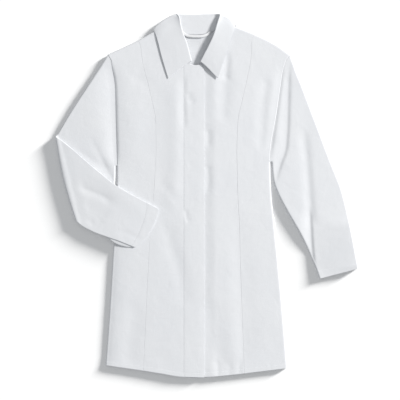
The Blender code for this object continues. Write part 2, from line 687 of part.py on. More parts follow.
def upward_normals(back, reach=0.5):
    """The back's normals, from the slope of its height."""
    xy = back[..., :2]
    right = np.array([reach, 0.0])
    up = np.array([0.0, reach])
    slope_x = back_height(xy + right) - back_height(xy - right)
    slope_y = back_height(xy + up) - back_height(xy - up)
    return unit(np.stack([-slope_x, -slope_y, np.full_like(slope_x, 2 * reach)], axis=-1))


# ------------------------------------------------------------------ sleeves: their points and normals


def armhole_ring(sign, panel, normals, back, levels):
    """The armhole's edge all round, from the underarm over the front and back under it, with its normals."""
    first = int(np.argmin(np.abs(levels - UNDERARM)))
    front = panel[-1, first:]
    front_normals = normals[-1, first:]
    behind = back[0] if sign < 0 else back[-1]
    behind = behind[ROWS_LOW + 1 : -1][::-1]
    down = np.tile([0.0, 0.0, -1.0], (len(behind), 1))
    ring = np.concatenate([front, behind])
    ring_normals = np.concatenate([front_normals, down])
    run = unit(np.roll(ring, -1, axis=0) - np.roll(ring, 1, axis=0))
    away = sign * unit(np.cross(run, ring_normals))
    away[0] = (0, 1, 0)
    return ring + away * SEAM, ring_normals


def edge_normals(table, shares, which):
    """Outward directions of a sleeve's inner (0) or outer (1) edge, seen from above."""
    near = along(table, np.clip(shares + 0.01, NOTCH_SHARE, 1))
    past = along(table, np.clip(shares - 0.01, NOTCH_SHARE, 1))
    rows = along(table, shares)
    side = slice(0, 2) if which == 0 else slice(2, 4)
    other = slice(2, 4) if which == 0 else slice(0, 2)
    run = unit(near[:, side] - past[:, side])
    out = np.column_stack([-run[:, 1], run[:, 0]])
    across = unit(rows[:, side] - rows[:, other])
    out *= np.where((out * across).sum(1) < 0, -1.0, 1.0)[:, None]
    return out, across


def sleeve(sign, ring, ring_normals, table, notch, shoulder, shares):
    """A sleeve: points and normals, [station, share], from its armhole's edge to its cuff."""
    shares = np.array(shares, float)
    turns = len(table[0]) > 6
    centre = np.array(notch[:2])
    seam_angle, top_angle, end_angle = notch[2:]
    table = [list(row) for row in table]
    table[1][1:3] = list(centre + heading(end_angle) * NOTCH_RADIUS)
    table[0][1:3] = table[1][1:3]
    if turns:
        for row in table:
            flipped = -1 if row[8] >= 180 else 1
            row[6] = flipped * (BEND_AXIS - row[6])
            row[7] = flipped * (BEND_AXIS - row[7])
    rows = along(table, shares)
    levels = front_levels()
    levels = levels[int(np.argmin(np.abs(levels - UNDERARM))) :]
    count = len(levels)
    armhole = ARMHOLE_RIGHT if sign < 0 else ARMHOLE_LEFT
    over = along(armhole, np.maximum(levels, armhole[0][0]))[:, 2]
    past_brink = np.where(levels >= ROWS_TOP[0], over + EDGE_ROUND, -1.0)
    climbing = np.clip((levels - UNDERARM) / (CLIMB - UNDERARM), 0, 1)

    # Distances along the edge, for the cloth that lies flat on top and underneath.
    plan = ring[:, :2]
    top = [i for i in range(count) if levels[i] >= CLIMB - 1e-6 and past_brink[i] <= 0]
    tip = np.array(armhole[-1][1:3], float)
    tip_normal = shoulder_normals(tip[None], shoulder)[0]
    inset_out_start = tip - tip_normal * EDGE_ROUND
    inset_top_start = centre + heading(top_angle) * (NOTCH_RADIUS + EDGE_ROUND)
    inset_low_start = centre + heading(seam_angle) * (NOTCH_RADIUS + EDGE_ROUND)
    run = np.concatenate([[inset_top_start], plan[top][1:], [inset_out_start]])
    run = np.concatenate([[0], np.cumsum(np.linalg.norm(np.diff(run, axis=0), axis=1))])
    top_share = run[:-1] / run[-1]
    low = list(range(count, len(ring)))
    run = np.concatenate([[inset_out_start], plan[low], [inset_low_start]])
    run = np.concatenate([[0], np.cumsum(np.linalg.norm(np.diff(run, axis=0), axis=1))])
    low_share = 1 - run[1:-1] / run[-1]

    inner, inner_across = edge_normals(table, shares, 0)
    outer, outer_across = edge_normals(table, shares, 1)
    middle = (BEND_FROM + BEND_TO) / 2
    half = (BEND_TO - BEND_FROM) / 2
    straight = ease((np.abs(shares - middle) - half) / BEND_EASE) if turns else np.ones(len(shares))
    inner = unit(inner * straight[:, None] + inner_across * (1 - straight)[:, None])
    outer = unit(outer * straight[:, None] + outer_across * (1 - straight)[:, None])
    settled = ease((shares - NOTCH_SHARE) / INNER_EASE)[:, None]
    inner = unit(-heading(end_angle) * (1 - settled) + inner * settled)
    settled = ease(shares / OUTER_EASE)[:, None]
    outer = unit(tip_normal * (1 - settled) + outer * settled)

    points = np.zeros((len(ring), len(shares), 3))
    fading = np.clip(1 - shares / JOIN_SHARE, 0, 1) ** 2
    joined = ease(shares / JOIN_SHARE)

    def inner_edge(k, start_angle):
        """Where the inner edge starts to round, its outward direction and its swell."""
        if shares[k] > NOTCH_SHARE:
            return rows[k, :2] - inner[k] * rows[k, 4], inner[k], rows[k, 4]
        ray = heading(start_angle + (end_angle - start_angle) * shares[k] / NOTCH_SHARE)
        return centre + ray * (NOTCH_RADIUS + EDGE_ROUND), -ray, EDGE_ROUND

    for k in range(1, len(shares)):
        share = shares[k]
        swell = rows[k, 4]
        inset_out = rows[k, 2:4] - outer[k] * swell
        base = np.zeros((len(ring), 2))
        bulge = np.zeros((len(ring), 2))
        angle = np.zeros(len(ring))
        for i in range(count):
            start_angle = seam_angle + (top_angle - seam_angle) * climbing[i]
            if climbing[i] < 1:
                base[i], way, size = inner_edge(k, start_angle)
                angle[i] = math.pi * (1 - climbing[i])
                bulge[i] = way * size
            elif past_brink[i] > 0:
                base[i] = inset_out
                angle[i] = min(past_brink[i] / EDGE_ROUND, math.pi)
                bulge[i] = outer[k] * swell
        inset_top, _, _ = inner_edge(k, top_angle)
        for i, place in zip(top, top_share):
            drift = plan[i] - (inset_top_start + (inset_out_start - inset_top_start) * place)
            base[i] = inset_top + (inset_out - inset_top) * place + drift * fading[k]
        inset_low, _, _ = inner_edge(k, seam_angle)
        for i, place in zip(low, low_share):
            drift = plan[i] - (inset_low_start + (inset_out_start - inset_low_start) * place)
            base[i] = inset_low + (inset_out - inset_low) * place + drift * fading[k]
            angle[i] = math.pi
        high = top_height(base)
        front_reach = BEND_AXIS - high
        back_reach = np.full(len(ring), BEND_AXIS - FLOOR)
        turn = 0.0
        if turns:
            turn = math.radians(rows[k, 7])
            upper = ease((BEND_FROM - share) / FOLD_EASE)
            lower = ease((share - BEND_TO) / FOLD_EASE)
            own_front = rows[k, 6] - upper * fold_sum(ARM_FOLDS, base)
            front_reach = front_reach * (1 - joined[k]) + own_front * joined[k]
            own_back = rows[k, 5] + lower * fold_sum(FOREARM_FOLDS, base)
            back_reach = back_reach * (1 - joined[k]) + own_back * joined[k]
        mixed = (1 + np.cos(angle)) / 2
        reach = front_reach * mixed + back_reach * (1 - mixed)
        across = unit(rows[k, 2:4] - rows[k, :2])
        outward = np.array([-across[1], across[0]])
        xy = base + bulge * np.sin(angle)[:, None] + outward * (reach * math.sin(turn))[:, None]
        points[:, k, :2] = xy
        points[:, k, 2] = BEND_AXIS - reach * math.cos(turn)
    points[:, 0] = ring
    along_ring = np.roll(points, -1, axis=0) - np.roll(points, 1, axis=0)
    along_sleeve = np.gradient(points, axis=1)
    normals = sign * unit(np.cross(along_sleeve, along_ring))
    normals[:, 0] = ring_normals
    return points, normals


# ------------------------------------------------------------------ collar: its points and normals


def neckline(fronts, back):
    """The neckline from the right front's end round the back to the left front's end.

    Gives its points, the cloth's normals there and the directions that lead away from the panels.
    """
    points = []
    normals = []
    away = []
    first = SHOULDER_COLUMNS
    columns = slice(first, first + len(NECK_SHARES))
    for sign, (place, normal) in zip((-1, 1), fronts):
        edge = place[columns, -1]
        run = unit(np.gradient(edge, axis=0))
        side = sign * unit(np.cross(run, normal[columns, -1]))
        points.append(edge)
        normals.append(normal[columns, -1])
        away.append(side)
    columns = slice(BACK_COLUMNS[0], BACK_COLUMNS[0] + BACK_COLUMNS[1] + 1)
    edge = back[columns, -1]
    run = unit(np.gradient(edge, axis=0))
    side = np.column_stack([-run[:, 1], run[:, 0], np.zeros(len(run))])
    down = np.tile([0.0, 0.0, -1.0], (len(edge), 1))
    all_points = np.concatenate([points[0][::-1], edge[1:-1], points[1]])
    all_normals = np.concatenate([normals[0][::-1], down[1:-1], normals[1]])
    all_away = np.concatenate([away[0][::-1], side[1:-1], away[1]])
    return all_points, all_normals, all_away


def collar_rows():
    """The collar's sections, from its right end to its left end."""
    front = np.array(NECK_SHARES) * FRONT_SHARE
    half = BACK_COLUMNS[1] // 2
    behind = FRONT_SHARE + (1 - FRONT_SHARE) * np.arange(1, half + 1) / half
    shares = np.concatenate([front, behind])
    right = along(COLLAR_RIGHT, shares)
    left = along(COLLAR_LEFT, shares)
    return np.concatenate([right, left[:-1][::-1]])


def curve(start, start_way, end, end_way, steps):
    """Points of a smooth curve between two ends with given directions."""
    t = np.linspace(0, 1, steps + 1)[:, None]
    near = start * (1 + 2 * t) * (1 - t) ** 2 + start_way * t * (1 - t) ** 2
    far = end * t**2 * (3 - 2 * t) + end_way * t**2 * (t - 1)
    return near + far


def collar(fronts, back):
    """The collar: points and normals, [station, step], from the neckline over the roll to its outer edge."""
    start, start_normals, away = neckline(fronts, back)
    rows = collar_rows()
    roll_line = rows[:, :3]
    way = unit(np.gradient(roll_line * np.array([1, 1, 0]), axis=0))
    inward = np.column_stack([way[:, 1], -way[:, 0], np.zeros(len(way))])
    up = np.array([0.0, 0.0, 1.0])
    stations = []
    for k, row in enumerate(rows):
        turn = math.radians(row[3])
        to_stand = inward[k] * math.sin(turn) - up * math.cos(turn)
        apex = inward[k] * math.cos(turn) + up * math.sin(turn)
        begin = start[k] + away[k] * NECK_GAP
        stand_end = row[:3] + to_stand * ROLL_RADIUS
        fall_start = row[:3] - to_stand * ROLL_RADIUS
        reach = np.linalg.norm(stand_end - begin)
        flat = abs(math.cos(turn))
        arrive = unit(apex * flat + unit(stand_end - begin) * (1 - flat))
        pull = reach * STAND_PULL
        stand = curve(begin, away[k] * pull, stand_end, arrive * pull, STAND_STEPS)
        angles = np.linspace(0, math.pi, ROLL_STEPS + 1)[1:-1, None]
        bend = row[:3] + (to_stand * np.cos(angles) + apex * np.sin(angles)) * ROLL_RADIUS
        edge = row[5:8]
        reach = np.linalg.norm(edge - fall_start)
        chord = unit(edge - fall_start)
        leave = unit(-apex * flat + chord * (1 - flat))
        fall = curve(fall_start, leave * reach * STAND_PULL, edge, chord * reach * FALL_PULL, FALL_STEPS)
        beside = np.array([-chord[1], chord[0], 0.0])
        beside *= -1.0 if beside[1] < 0 else 1.0
        bulge = -to_stand * flat * (row[3] < 90) + beside * math.sin(turn)
        lift = np.sin(np.linspace(0, math.pi, FALL_STEPS + 1))[:, None]
        fall = fall + bulge * lift * row[4]
        fall[:, 2] = np.maximum(fall[:, 2], FLOOR)
        stations.append(np.concatenate([stand, bend, fall]))
    points = np.array(stations)
    across = np.gradient(points, axis=0)
    outwards = np.gradient(points, axis=1)
    normals = unit(np.cross(across, outwards))
    agree = np.where((normals[:, 0] * start_normals).sum(1) < 0, -1.0, 1.0)[:, None]
    normals[:, 0] = start_normals * agree
    return points, normals


# ------------------------------------------------------------------ solids


def material(name, colour, roughness, sheen=0.0):
    """One Principled material."""
    made = bpy.data.materials.new(name)
    made.use_nodes = True
    shader = made.node_tree.nodes["Principled BSDF"]
    shader.inputs["Base Color"].default_value = (*colour, 1.0)
    shader.inputs["Roughness"].default_value = roughness
    shader.inputs["Sheen Weight"].default_value = sheen
    return made


def finish(name, mesh_data, surface, collection, angle=50.0):
    """Turns a bmesh into a named, smooth object."""
    bmesh.ops.recalc_face_normals(mesh_data, faces=mesh_data.faces[:])
    if mesh_data.calc_volume(signed=True) < 0:
        bmesh.ops.reverse_faces(mesh_data, faces=mesh_data.faces[:])
    mesh = bpy.data.meshes.new(name)
    mesh_data.to_mesh(mesh)
    mesh_data.free()
    mesh.materials.append(surface)
    mesh.shade_smooth()
    mesh.set_sharp_from_angle(angle=math.radians(angle))
    made = bpy.data.objects.new(name, mesh)
    collection.objects.link(made)
    return made


def cloth(name, points, normals, surface, collection, thick=CLOTH, closed=False):
    """A sheet with a wall, from its middle points and normals, [column, row]; closed makes it a tube."""
    if closed:
        points = np.concatenate([points, points[:1]])
        normals = np.concatenate([normals, normals[:1]])
    columns, rows = points.shape[0] - 1, points.shape[1] - 1
    sheet = bmesh.new()
    bmesh.ops.create_grid(sheet, x_segments=columns, y_segments=rows, size=1)
    bmesh.ops.solidify(sheet, geom=sheet.faces[:], thickness=0.5)
    spot = {}
    for vertex in sheet.verts:
        column = round((vertex.co.x + 1) / 2 * columns)
        row = round((vertex.co.y + 1) / 2 * rows)
        side = 1 if vertex.co.z > -0.25 else -1
        spot[vertex] = (column, row, side)
    if closed:
        ends = [
            face
            for face in sheet.faces
            if all(spot[vertex][0] == 0 for vertex in face.verts)
            or all(spot[vertex][0] == columns for vertex in face.verts)
        ]
        bmesh.ops.delete(sheet, geom=ends, context="FACES")
    for vertex in sheet.verts:
        column, row, side = spot[vertex]
        place = points[column, row] + normals[column, row] * side * thick / 2
        vertex.co = place * METRE
    if closed:
        bmesh.ops.remove_doubles(sheet, verts=sheet.verts[:], dist=1e-5)
    return finish(name, sheet, surface, collection)


def button(name, height, surface, collection):
    """A flat round button with eased edges, between the two fronts at the closing."""
    disc = bmesh.new()
    bmesh.ops.create_cone(
        disc,
        cap_ends=True,
        segments=16,
        radius1=BUTTON_RADIUS,
        radius2=BUTTON_RADIUS,
        depth=BUTTON_THICK,
    )
    rims = [edge for edge in disc.edges if abs(edge.verts[0].co.z - edge.verts[1].co.z) < 0.001]
    bmesh.ops.bevel(disc, geom=rims, offset=BUTTON_BEVEL, segments=1, affect="EDGES", profile=0.5)
    spot = np.array([BUTTON_X, height])
    level = float(top_height(spot)) - UNDERLAP_DROP / 2
    bmesh.ops.translate(disc, verts=disc.verts[:], vec=(spot[0], spot[1], level))
    bmesh.ops.scale(disc, verts=disc.verts[:], vec=(METRE, METRE, METRE))
    return finish(name, disc, surface, collection, 40.0)


def loop_strip():
    """The hanger loop's tape: points and normals, [along, across]."""
    line = through(LOOP, np.linspace(0, 1, LOOP_STEPS + 1))
    run = unit(np.gradient(line, axis=0))
    side = unit(np.column_stack([-run[:, 1], run[:, 0], np.zeros(len(run))]))
    normals = unit(np.cross(run, side))
    places = np.linspace(-0.5, 0.5, 3) * LOOP_WIDTH
    points = line[:, None] + side[:, None] * places[None, :, None]
    return points, np.repeat(normals[:, None], 3, axis=1)


def build():
    """Makes the whole coat."""
    for leftover in list(bpy.data.objects):
        bpy.data.objects.remove(leftover, do_unlink=True)
    collection = bpy.data.collections.new("work_coat")
    bpy.context.scene.collection.children.link(collection)
    cotton = (0.86, 0.87, 0.89)
    surfaces = {
        name: material(name + "_cotton", cotton, 0.9, 0.2)
        for name in (
            "back", "side_front_right", "centre_front_right", "side_front_left", "centre_front_left",
            "sleeve_right", "sleeve_left", "collar",
        )
    }
    tape = material("loop_tape", (0.9, 0.9, 0.91), 0.8)
    levels = front_levels()
    side_right = side_front(-1, levels)
    side_left = side_front(1, levels)
    centre_right = centre_front(-1, levels)
    centre_left = centre_front(1, levels)
    back = back_panel(back_levels())
    back_normals = upward_normals(back)
    pieces = {
        "back": (back, back_normals),
        "side_front_right": side_right,
        "centre_front_right": centre_right,
        "side_front_left": side_left,
        "centre_front_left": centre_left,
        "collar": collar((centre_right, centre_left), back),
    }
    for name, (points, normals) in pieces.items():
        cloth(name, points, normals, surfaces[name], collection)
    for name, sign, side, table, notch, shoulder, shares in (
        ("sleeve_right", -1, side_right, SLEEVE_RIGHT, NOTCH_RIGHT, SHOULDER_RIGHT, BEND + FOREARM),
        ("sleeve_left", 1, side_left, SLEEVE_LEFT, NOTCH_LEFT, SHOULDER_LEFT, STRAIGHT),
    ):
        shares = SLEEVE_START + shares
        ring, ring_normals = armhole_ring(sign, *side, back, levels)
        points, normals = sleeve(sign, ring, ring_normals, table, notch, shoulder, shares)
        cloth(name, points, normals, surfaces[name], collection, closed=True)
    points, normals = loop_strip()
    cloth("hanger_loop", points, normals, tape, collection, LOOP_THICK)
    shell = material("button_shell", (0.87, 0.86, 0.83), 0.35)
    for count, height in enumerate(BUTTON_LEVELS, 1):
        button("button_%d" % count, height, shell, collection)


build()
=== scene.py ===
import math

import bmesh
import bpy
import numpy as np
from mathutils import Matrix, Vector, noise


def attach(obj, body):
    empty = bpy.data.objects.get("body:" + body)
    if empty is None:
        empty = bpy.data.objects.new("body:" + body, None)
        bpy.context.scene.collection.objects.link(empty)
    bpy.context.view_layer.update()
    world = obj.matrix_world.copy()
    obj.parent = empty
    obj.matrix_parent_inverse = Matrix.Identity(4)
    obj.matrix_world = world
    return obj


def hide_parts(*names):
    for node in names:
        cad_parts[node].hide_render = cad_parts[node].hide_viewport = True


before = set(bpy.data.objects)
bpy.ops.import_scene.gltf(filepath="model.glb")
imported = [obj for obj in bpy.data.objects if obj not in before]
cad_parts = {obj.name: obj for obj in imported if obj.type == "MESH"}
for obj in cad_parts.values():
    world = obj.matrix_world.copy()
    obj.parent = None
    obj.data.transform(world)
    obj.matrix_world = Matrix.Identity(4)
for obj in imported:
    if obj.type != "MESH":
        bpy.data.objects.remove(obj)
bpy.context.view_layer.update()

# Millimetres throughout, metres only when a mesh is made. x = 0 is the coat's centre line, +x the wearer's
# left, +y towards the collar and z = 0 the surface that the coat lies on.
# Seams run from the hem (level 0) to the shoulder (level 1). "over" is how far a point lies past the
# shoulder's edge once that edge is unrolled.

coat = {
    "cloth": 0.8,  # one layer
    "hemmed": 1.2,  # where it is turned in and sewn
    "seamGap": 0.22,
    "shoulderGap": 0.4,
    "softTouch": 0.16,  # how gently a fold stops at the lowest height
    "rest": 0.62,  # middle of the cloth that lies on the surface
    "edgeRound": 4.0,  # swell of a folded edge
    "roundBlend": 0.6,  # of its angle, over which the folds fade into it
    "frontRise": 6.3,
    "crown": 0.9,
    "crownWidth": 90.0,
    "collarLift": 2.2,  # the back rises over the collar's fall
    "collarLiftRun": 26.0,
    "collarUnderY": 374.0,
    "collarUnderX": 132.0,
    "underlapStep": 1.7,  # the underlap's way up beside the closing
    "underlapRun": 30.0,
    "underlapDeep": 2.5,  # and further down under it, where the buttons lie
    "underlapDeepRun": 13.0,
    "lapEdge": 22.5,  # edge of the upper layer of the closing
    "lapBend": 9.0,
    "edgeDrop": 0.2,
    "placketStitch": -27.5,
    "lastStitch": 0.985,  # level
    "hemStitch": 11.2,
    "touching": 2.2,
    "underarm": 0.58,
    "climb": 0.645,
    "notchRadius": 2.2,
    "topLevel": 0.945,
    "shiftFrom": 0.7,
    "topShares": (0.27, 0.53, 0.20),  # shoulder, neckline, closing
    "ripple": 0.22,  # height of the small unevenness of the cloth
    "underRipple": 0.15,  # share of it where the cloth faces down
    "rippleSize": 0.02,
    "backArmholeRise": 22.0,  # the back's edge runs straight up this far from the underarm
    "backTipDrop": 16.0,  # and nears the shoulder's tip this far under the edge
    "foldTaper": 0.2,  # share of its length over which a fold fades in and out
    "foldReach": 2.6,  # widths past which a fold isn't felt
    "foldSteps": 31,
    "normalStep": 0.4,
    "edgeSteps": 90,
}
edgeRound = coat["edgeRound"]
wrap = edgeRound * math.pi  # cloth in a folded edge
over = wrap - edgeRound
underShoulder = -edgeRound - coat["shoulderGap"]  # where the back's upper edge lies
underarm = coat["underarm"]
climb = coat["climb"]

# levels of a seam's rows, and how far past the shoulder's edge each lies
seamLevels = (0, 0.16, 0.3, 0.42, 0.52, underarm, climb, 0.74, 0.84, 0.91, 0.945, 0.965, 1)
seamOver = (0,) * 10 + (-15, -7, over)
neckShares = (0, 0.22, 0.45, 0.66, 0.8, 0.87, 1)  # from the collar's end to the shoulder seam
neckOver = (0, 0, 0, 0, -17, -9, over)

halves = {  # x, y of each row, from the hem up, seen from above
    "right": {
        "sign": -1,
        "side": [(-222.5, -421.5), (-213, -290), (-204.5, -150), (-198.5, -62), (-195, 14), (-194.5, 74)],
        "notch": (-192.3 - 2 * coat["notchRadius"], 74, 0, 62, 146),
        "armhole": [(-195.4, 118), (-197.4, 190), (-199.5, 272), (-206, 316)]
        + [(-216.5, 354.6), (-217.2, 354.2), (-217.5, 354)],
        "princess": [(-129, -434.5), (-123.5, -310), (-116.5, -170), (-111, -70), (-103.5, 5), (-100, 60)]
        + [(-97.5, 115), (-98.5, 185), (-113, 262), (-130, 330), (-142.3, 389), (-142.5, 389), (-142.5, 389)],
        "hem": [(-129, -434.5), (-80, -442.5), (-35, -449.5), (22.5, -451.5)],
        "shoulder": [(-262, 331), (-217.5, 354), (-180, 371.5), (-142.5, 389)]
        + [(-97.5, 413.8), (-72, 427), (-30, 449)],
        "neck": [(-12.5, 331.5), (-30, 340), (-48, 360), (-60, 386)] + [(-79, 423.2)] * 3,
        "lapTop": [(-12.5, 331.5), (0, 327.5), (11, 328.5), (19, 325), (22.5, 317)],
    },
    "left": {
        "sign": 1,
        "side": [(230, -428.5), (219, -290), (206, -150), (197, -62), (189.5, 20), (187.5, 84)],
        "notch": (185.3 + 2 * coat["notchRadius"], 84, 180, 122, 8),
        "armhole": [(189.5, 126), (201, 190), (213, 270), (221, 320), (236.5, 354.6), (237.2, 354.2), (237.5, 353.8)],
        "princess": [(122.5, -441.5), (118, -310), (113, -170), (110.5, -70), (106.5, 5), (105, 60)]
        + [(104, 115), (106.5, 185), (122.5, 262), (138, 335), (147.5, 406), (148, 406), (148, 406)],
        "hem": [(122.5, -441.5), (75, -446.5), (25, -450.5), (-22.5, -451.5)],
        "shoulder": [(282, 331), (237.5, 353.8), (205, 377), (148, 405.5), (95, 426), (72, 435), (30, 451)],
        "neck": [(12.5, 331.5), (30, 341), (48, 362), (60, 389)] + [(79, 432.5)] * 3,
        "lapTop": [(12.5, 331.5), (2, 328), (-8, 329), (-19, 325), (-22.5, 317)],
    },
}
for half in halves.values():  # each row becomes its level, x, y and over
    half["side"] = [(level, *place) for level, place in zip(seamLevels, half["side"])]
    seams = {
        "princess": (seamLevels, seamOver),
        "armhole": ((climb + 0.03, *seamLevels[7:]), seamOver[6:]),
        "neck": (neckShares, neckOver),
    }
    for name, (rowLevels, rowOver) in seams.items():
        half[name] = [(level, *place, past) for level, place, past in zip(rowLevels, half[name], rowOver)]
# y of the closing's straight edges
lapLevels = list(zip(seamLevels, (-451.5, -310, -185, -85, 0, 52, 110, 178, 240, 284, 300, 308, 317)))
backHem = [(-215, -422), (-129, -434), (0, -453), (122, -441), (223, -429)]
backNeck = [(-50, 410), (-27, 404.5), (0, 403), (27, 405), (50, 414)]

# folds: name, line, width to the -x side, width to the +x side, height at its start, at its end
mainFolds = [
    ("trough under the collar", [(81, 364), (82, 346), (81, 318), (76, 286)], 12, 5.5, -1.3, -1.9),
    ("trough below the collar", [(80, 316), (74, 262), (70, 180)], 18, 14, -1.3, -1.1),
    ("ridge beside the closing", [(-50, 310), (-48, 190), (-50, 60), (-56, -60)], 20, 17, 1.2, 1.3),
    ("trough from the cuff", [(-84, -40), (-64, -110), (-40, -184), (-24, -290)], 16, 20, -1.2, -1.1),
    ("low corner of the left front", [(44, -250), (50, -350), (66, -452)], 20, 30, -0.9, -2.4),
    ("left seam lies low", [(106, -20), (110.5, -130), (113.5, -209), (121, -359), (124, -456)], 18, 33, -0.7, -1.7),
    ("step beside the closing's stitches", [(-25, 312), (-27, 240), (-25, 160)], 12, 4.5, -0.9, -1.1),
    ("trough at the left bust", [(182, 312), (170, 216), (164, 100)], 16, 12, -1.3, -1.1),
    ("soft rise of the right bust", [(-140, 250), (-150, 160), (-150, 60)], 34, 30, 1.0, 0.6),
    ("trough at the right hem", [(-150, -250), (-166, -440)], 20, 26, -0.7, -1.3),
    ("left armhole", [(221, 346), (208, 241), (197, 166), (189, 116), (184, 84)], 15, 5, -1.2, -1.5),
    ("right armhole", [(-217, 350), (-207, 316), (-200.5, 272), (-198.5, 190), (-195, 66)], 36, 4.6, -2.3, -2.6),
    ("beside that armhole", [(-217, 350), (-207, 316), (-200.5, 272), (-198.5, 190), (-195, 40)], 24, 17, -1.0, -1.0),
    ("left drape", [(235, 344), (232, 241), (230, 166), (225, 116), (212, 79), (197, 22)], 17, 5.2, -1.7, -2.2),
    ("trough of the left forearm", [(270, 190), (280, 80), (287, -12), (294, -90)], 14, 10, -1.2, -2.2),
    ("crease at the left cuff", [(285, -20), (288, -60), (291.5, -120), (300, -206)], 22, 3.6, -1.8, -2.8),
    ("rise beside that crease", [(289, -40), (292, -120), (301, -206)], 14, 30, -1.0, -1.5),
    ("right side of the left cuff", [(392, -40), (404, -110), (414, -200)], 64, 30, 3.4, 5.6),
    ("edge", [(-198, 0), (-203, -60), (-209, -126), (-215, -230), (-228, -421), (-232, -470)], 8, 13, -1.7, -2.3),
    ("beside the edge", [(-198, 10), (-204, -90), (-216, -230), (-229, -421), (-233, -480)], 20, 30, -1.2, -1.7),
]
creases = [  # the same, finer
    ("left side of the dimple", [(-18, 262), (-12, 240), (0, 232)], 7, 9, -0.8, -1.0),
    ("curved crease", [(-24, -30), (-22, -52), (-12, -66)], 4, 7, -0.9, -0.7),
    ("ripple by the closing, upper", [(32, 170), (34, 140), (30, 122)], 6, 9, -1.0, -0.8),
    ("ripple by the closing, middle", [(31, 84), (34, 40), (29, 4)], 6, 8, -1.0, -0.8),
    ("pucker at the left hem, one", [(56, -452), (58, -430), (52, -404)], 9, 5, -0.7, -0.4),
    ("pucker at the left hem, two", [(84, -450), (88, -432), (86, -410)], 8, 5, -0.7, -0.4),
    ("pucker at the left hem, three", [(112, -446), (110, -430), (114, -408)], 4, 6, -0.7, -0.4),
    ("pull under the right bust", [(-100, 40), (-70, 20), (-40, -20)], 9, 12, -0.6, -0.4),
    ("soft dent of the right chest", [(-160, 300), (-120, 280), (-90, 240)], 16, 20, -0.7, -0.4),
]
armFolds = [  # of the bent sleeve's upper arm
    ("crook of the elbow", [(-244, 96), (-216, 62), (-200, 34)], 12, 12, -0.8, -1.3),
    ("ridge of the upper arm", [(-246, 290), (-262, 200), (-280, 140)], 30, 34, 0.6, 0.4),
    ("pull from the crook", [(-300, 120), (-262, 96), (-222, 62)], 8, 7, -0.4, -0.8),
    ("second pull from the crook", [(-262, 150), (-240, 108), (-214, 56)], 8, 6, -0.4, -0.8),
]
forearmFolds = [  # and of its forearm
    ("long crease", [(-300, 30), (-235, 0), (-196, -20)], 11, 15, -1.1, -0.8),
    ("low edge", [(-276, -6), (-252, -40), (-225, -66)], 22, 26, -0.7, -0.9),
    ("ridge to the cuff", [(-290, 70), (-225, 40), (-160, -16), (-120, -52)], 20, 24, 0.9, 0.5),
    ("turned corner", [(-306, -8), (-284, -46), (-246, -76)], 9, 10, -1.0, -1.1),
    ("fine crease of the forearm", [(-290, 24), (-250, 10), (-205, -12)], 7, 6, -0.4, -0.5),
    ("crease by the cuff", [(-200, -84), (-170, -92), (-140, -104)], 8, 6, -0.3, -0.4),
]


def along(rows, at):  # smooth curve through rows of (level, values...), never past its rows
    table = np.array(rows, float)
    knots = table[:, 0]
    values = table[:, 1:]
    at = np.asarray(at, float)
    step = np.diff(knots)[:, None]
    slope = np.diff(values, axis=0) / step
    tangent = np.zeros_like(values)
    tangent[0] = slope[0]
    tangent[-1] = slope[-1]
    before, after = slope[:-1], slope[1:]
    heavy = 2 * step[1:] + step[:-1]
    light = step[1:] + 2 * step[:-1]
    same = before * after > 0
    mean = (heavy + light) / (heavy / np.where(same, before, 1.0) + light / np.where(same, after, 1.0))
    tangent[1:-1] = np.where(same, mean, 0.0)
    i = np.clip(np.searchsorted(knots, at, side="right") - 1, 0, len(knots) - 2)
    t = ((at - knots[i]) / (knots[i + 1] - knots[i]))[..., None]
    h = step[i]
    near = values[i] * (1 + 2 * t) * (1 - t) ** 2 + tangent[i] * h * t * (1 - t) ** 2
    return near + values[i + 1] * t**2 * (3 - 2 * t) + tangent[i + 1] * h * t**2 * (t - 1)


def lengths(points):  # running length along a line of points
    return np.concatenate([[0], np.cumsum(np.linalg.norm(np.diff(points, axis=0), axis=1))])


def through(points, shares):
    points = np.array(points, float)
    run = lengths(points)
    return along(np.column_stack([run / run[-1], points]), shares)


def unit(vectors):
    return vectors / np.maximum(np.linalg.norm(vectors, axis=-1, keepdims=True), 1e-12)


def turned(run, like=None):  # normals of a line, on the side of given vectors or else upwards
    normal = np.column_stack([-run[:, 1], run[:, 0]])
    agree = normal[:, 1] if like is None else (normal * like).sum(1)
    return normal * np.where(agree < 0, -1.0, 1.0)[:, None]


def rowAt(levels, level):  # the row nearest to a level
    return int(np.argmin(np.abs(levels - level)))


def ease(value):
    value = np.clip(value, 0, 1)
    return value * value * (3 - 2 * value)


def nearest(line, points):
    start = line[:-1]
    run = line[1:] - start
    offset = points[:, None, :] - start[None]
    place = np.clip((offset * run).sum(2) / (run**2).sum(1), 0, 1)
    away = np.linalg.norm(offset - place[..., None] * run, axis=2)
    index = away.argmin(1)
    place = place[np.arange(len(points)), index]
    return index, place, start[index] + place[:, None] * run[index]


def edgeLine(shoulder):
    return through(shoulder, np.linspace(0, 1, coat["edgeSteps"]))


def heading(degrees):
    angle = np.radians(degrees)
    return np.stack([np.cos(angle), np.sin(angle)], axis=-1)


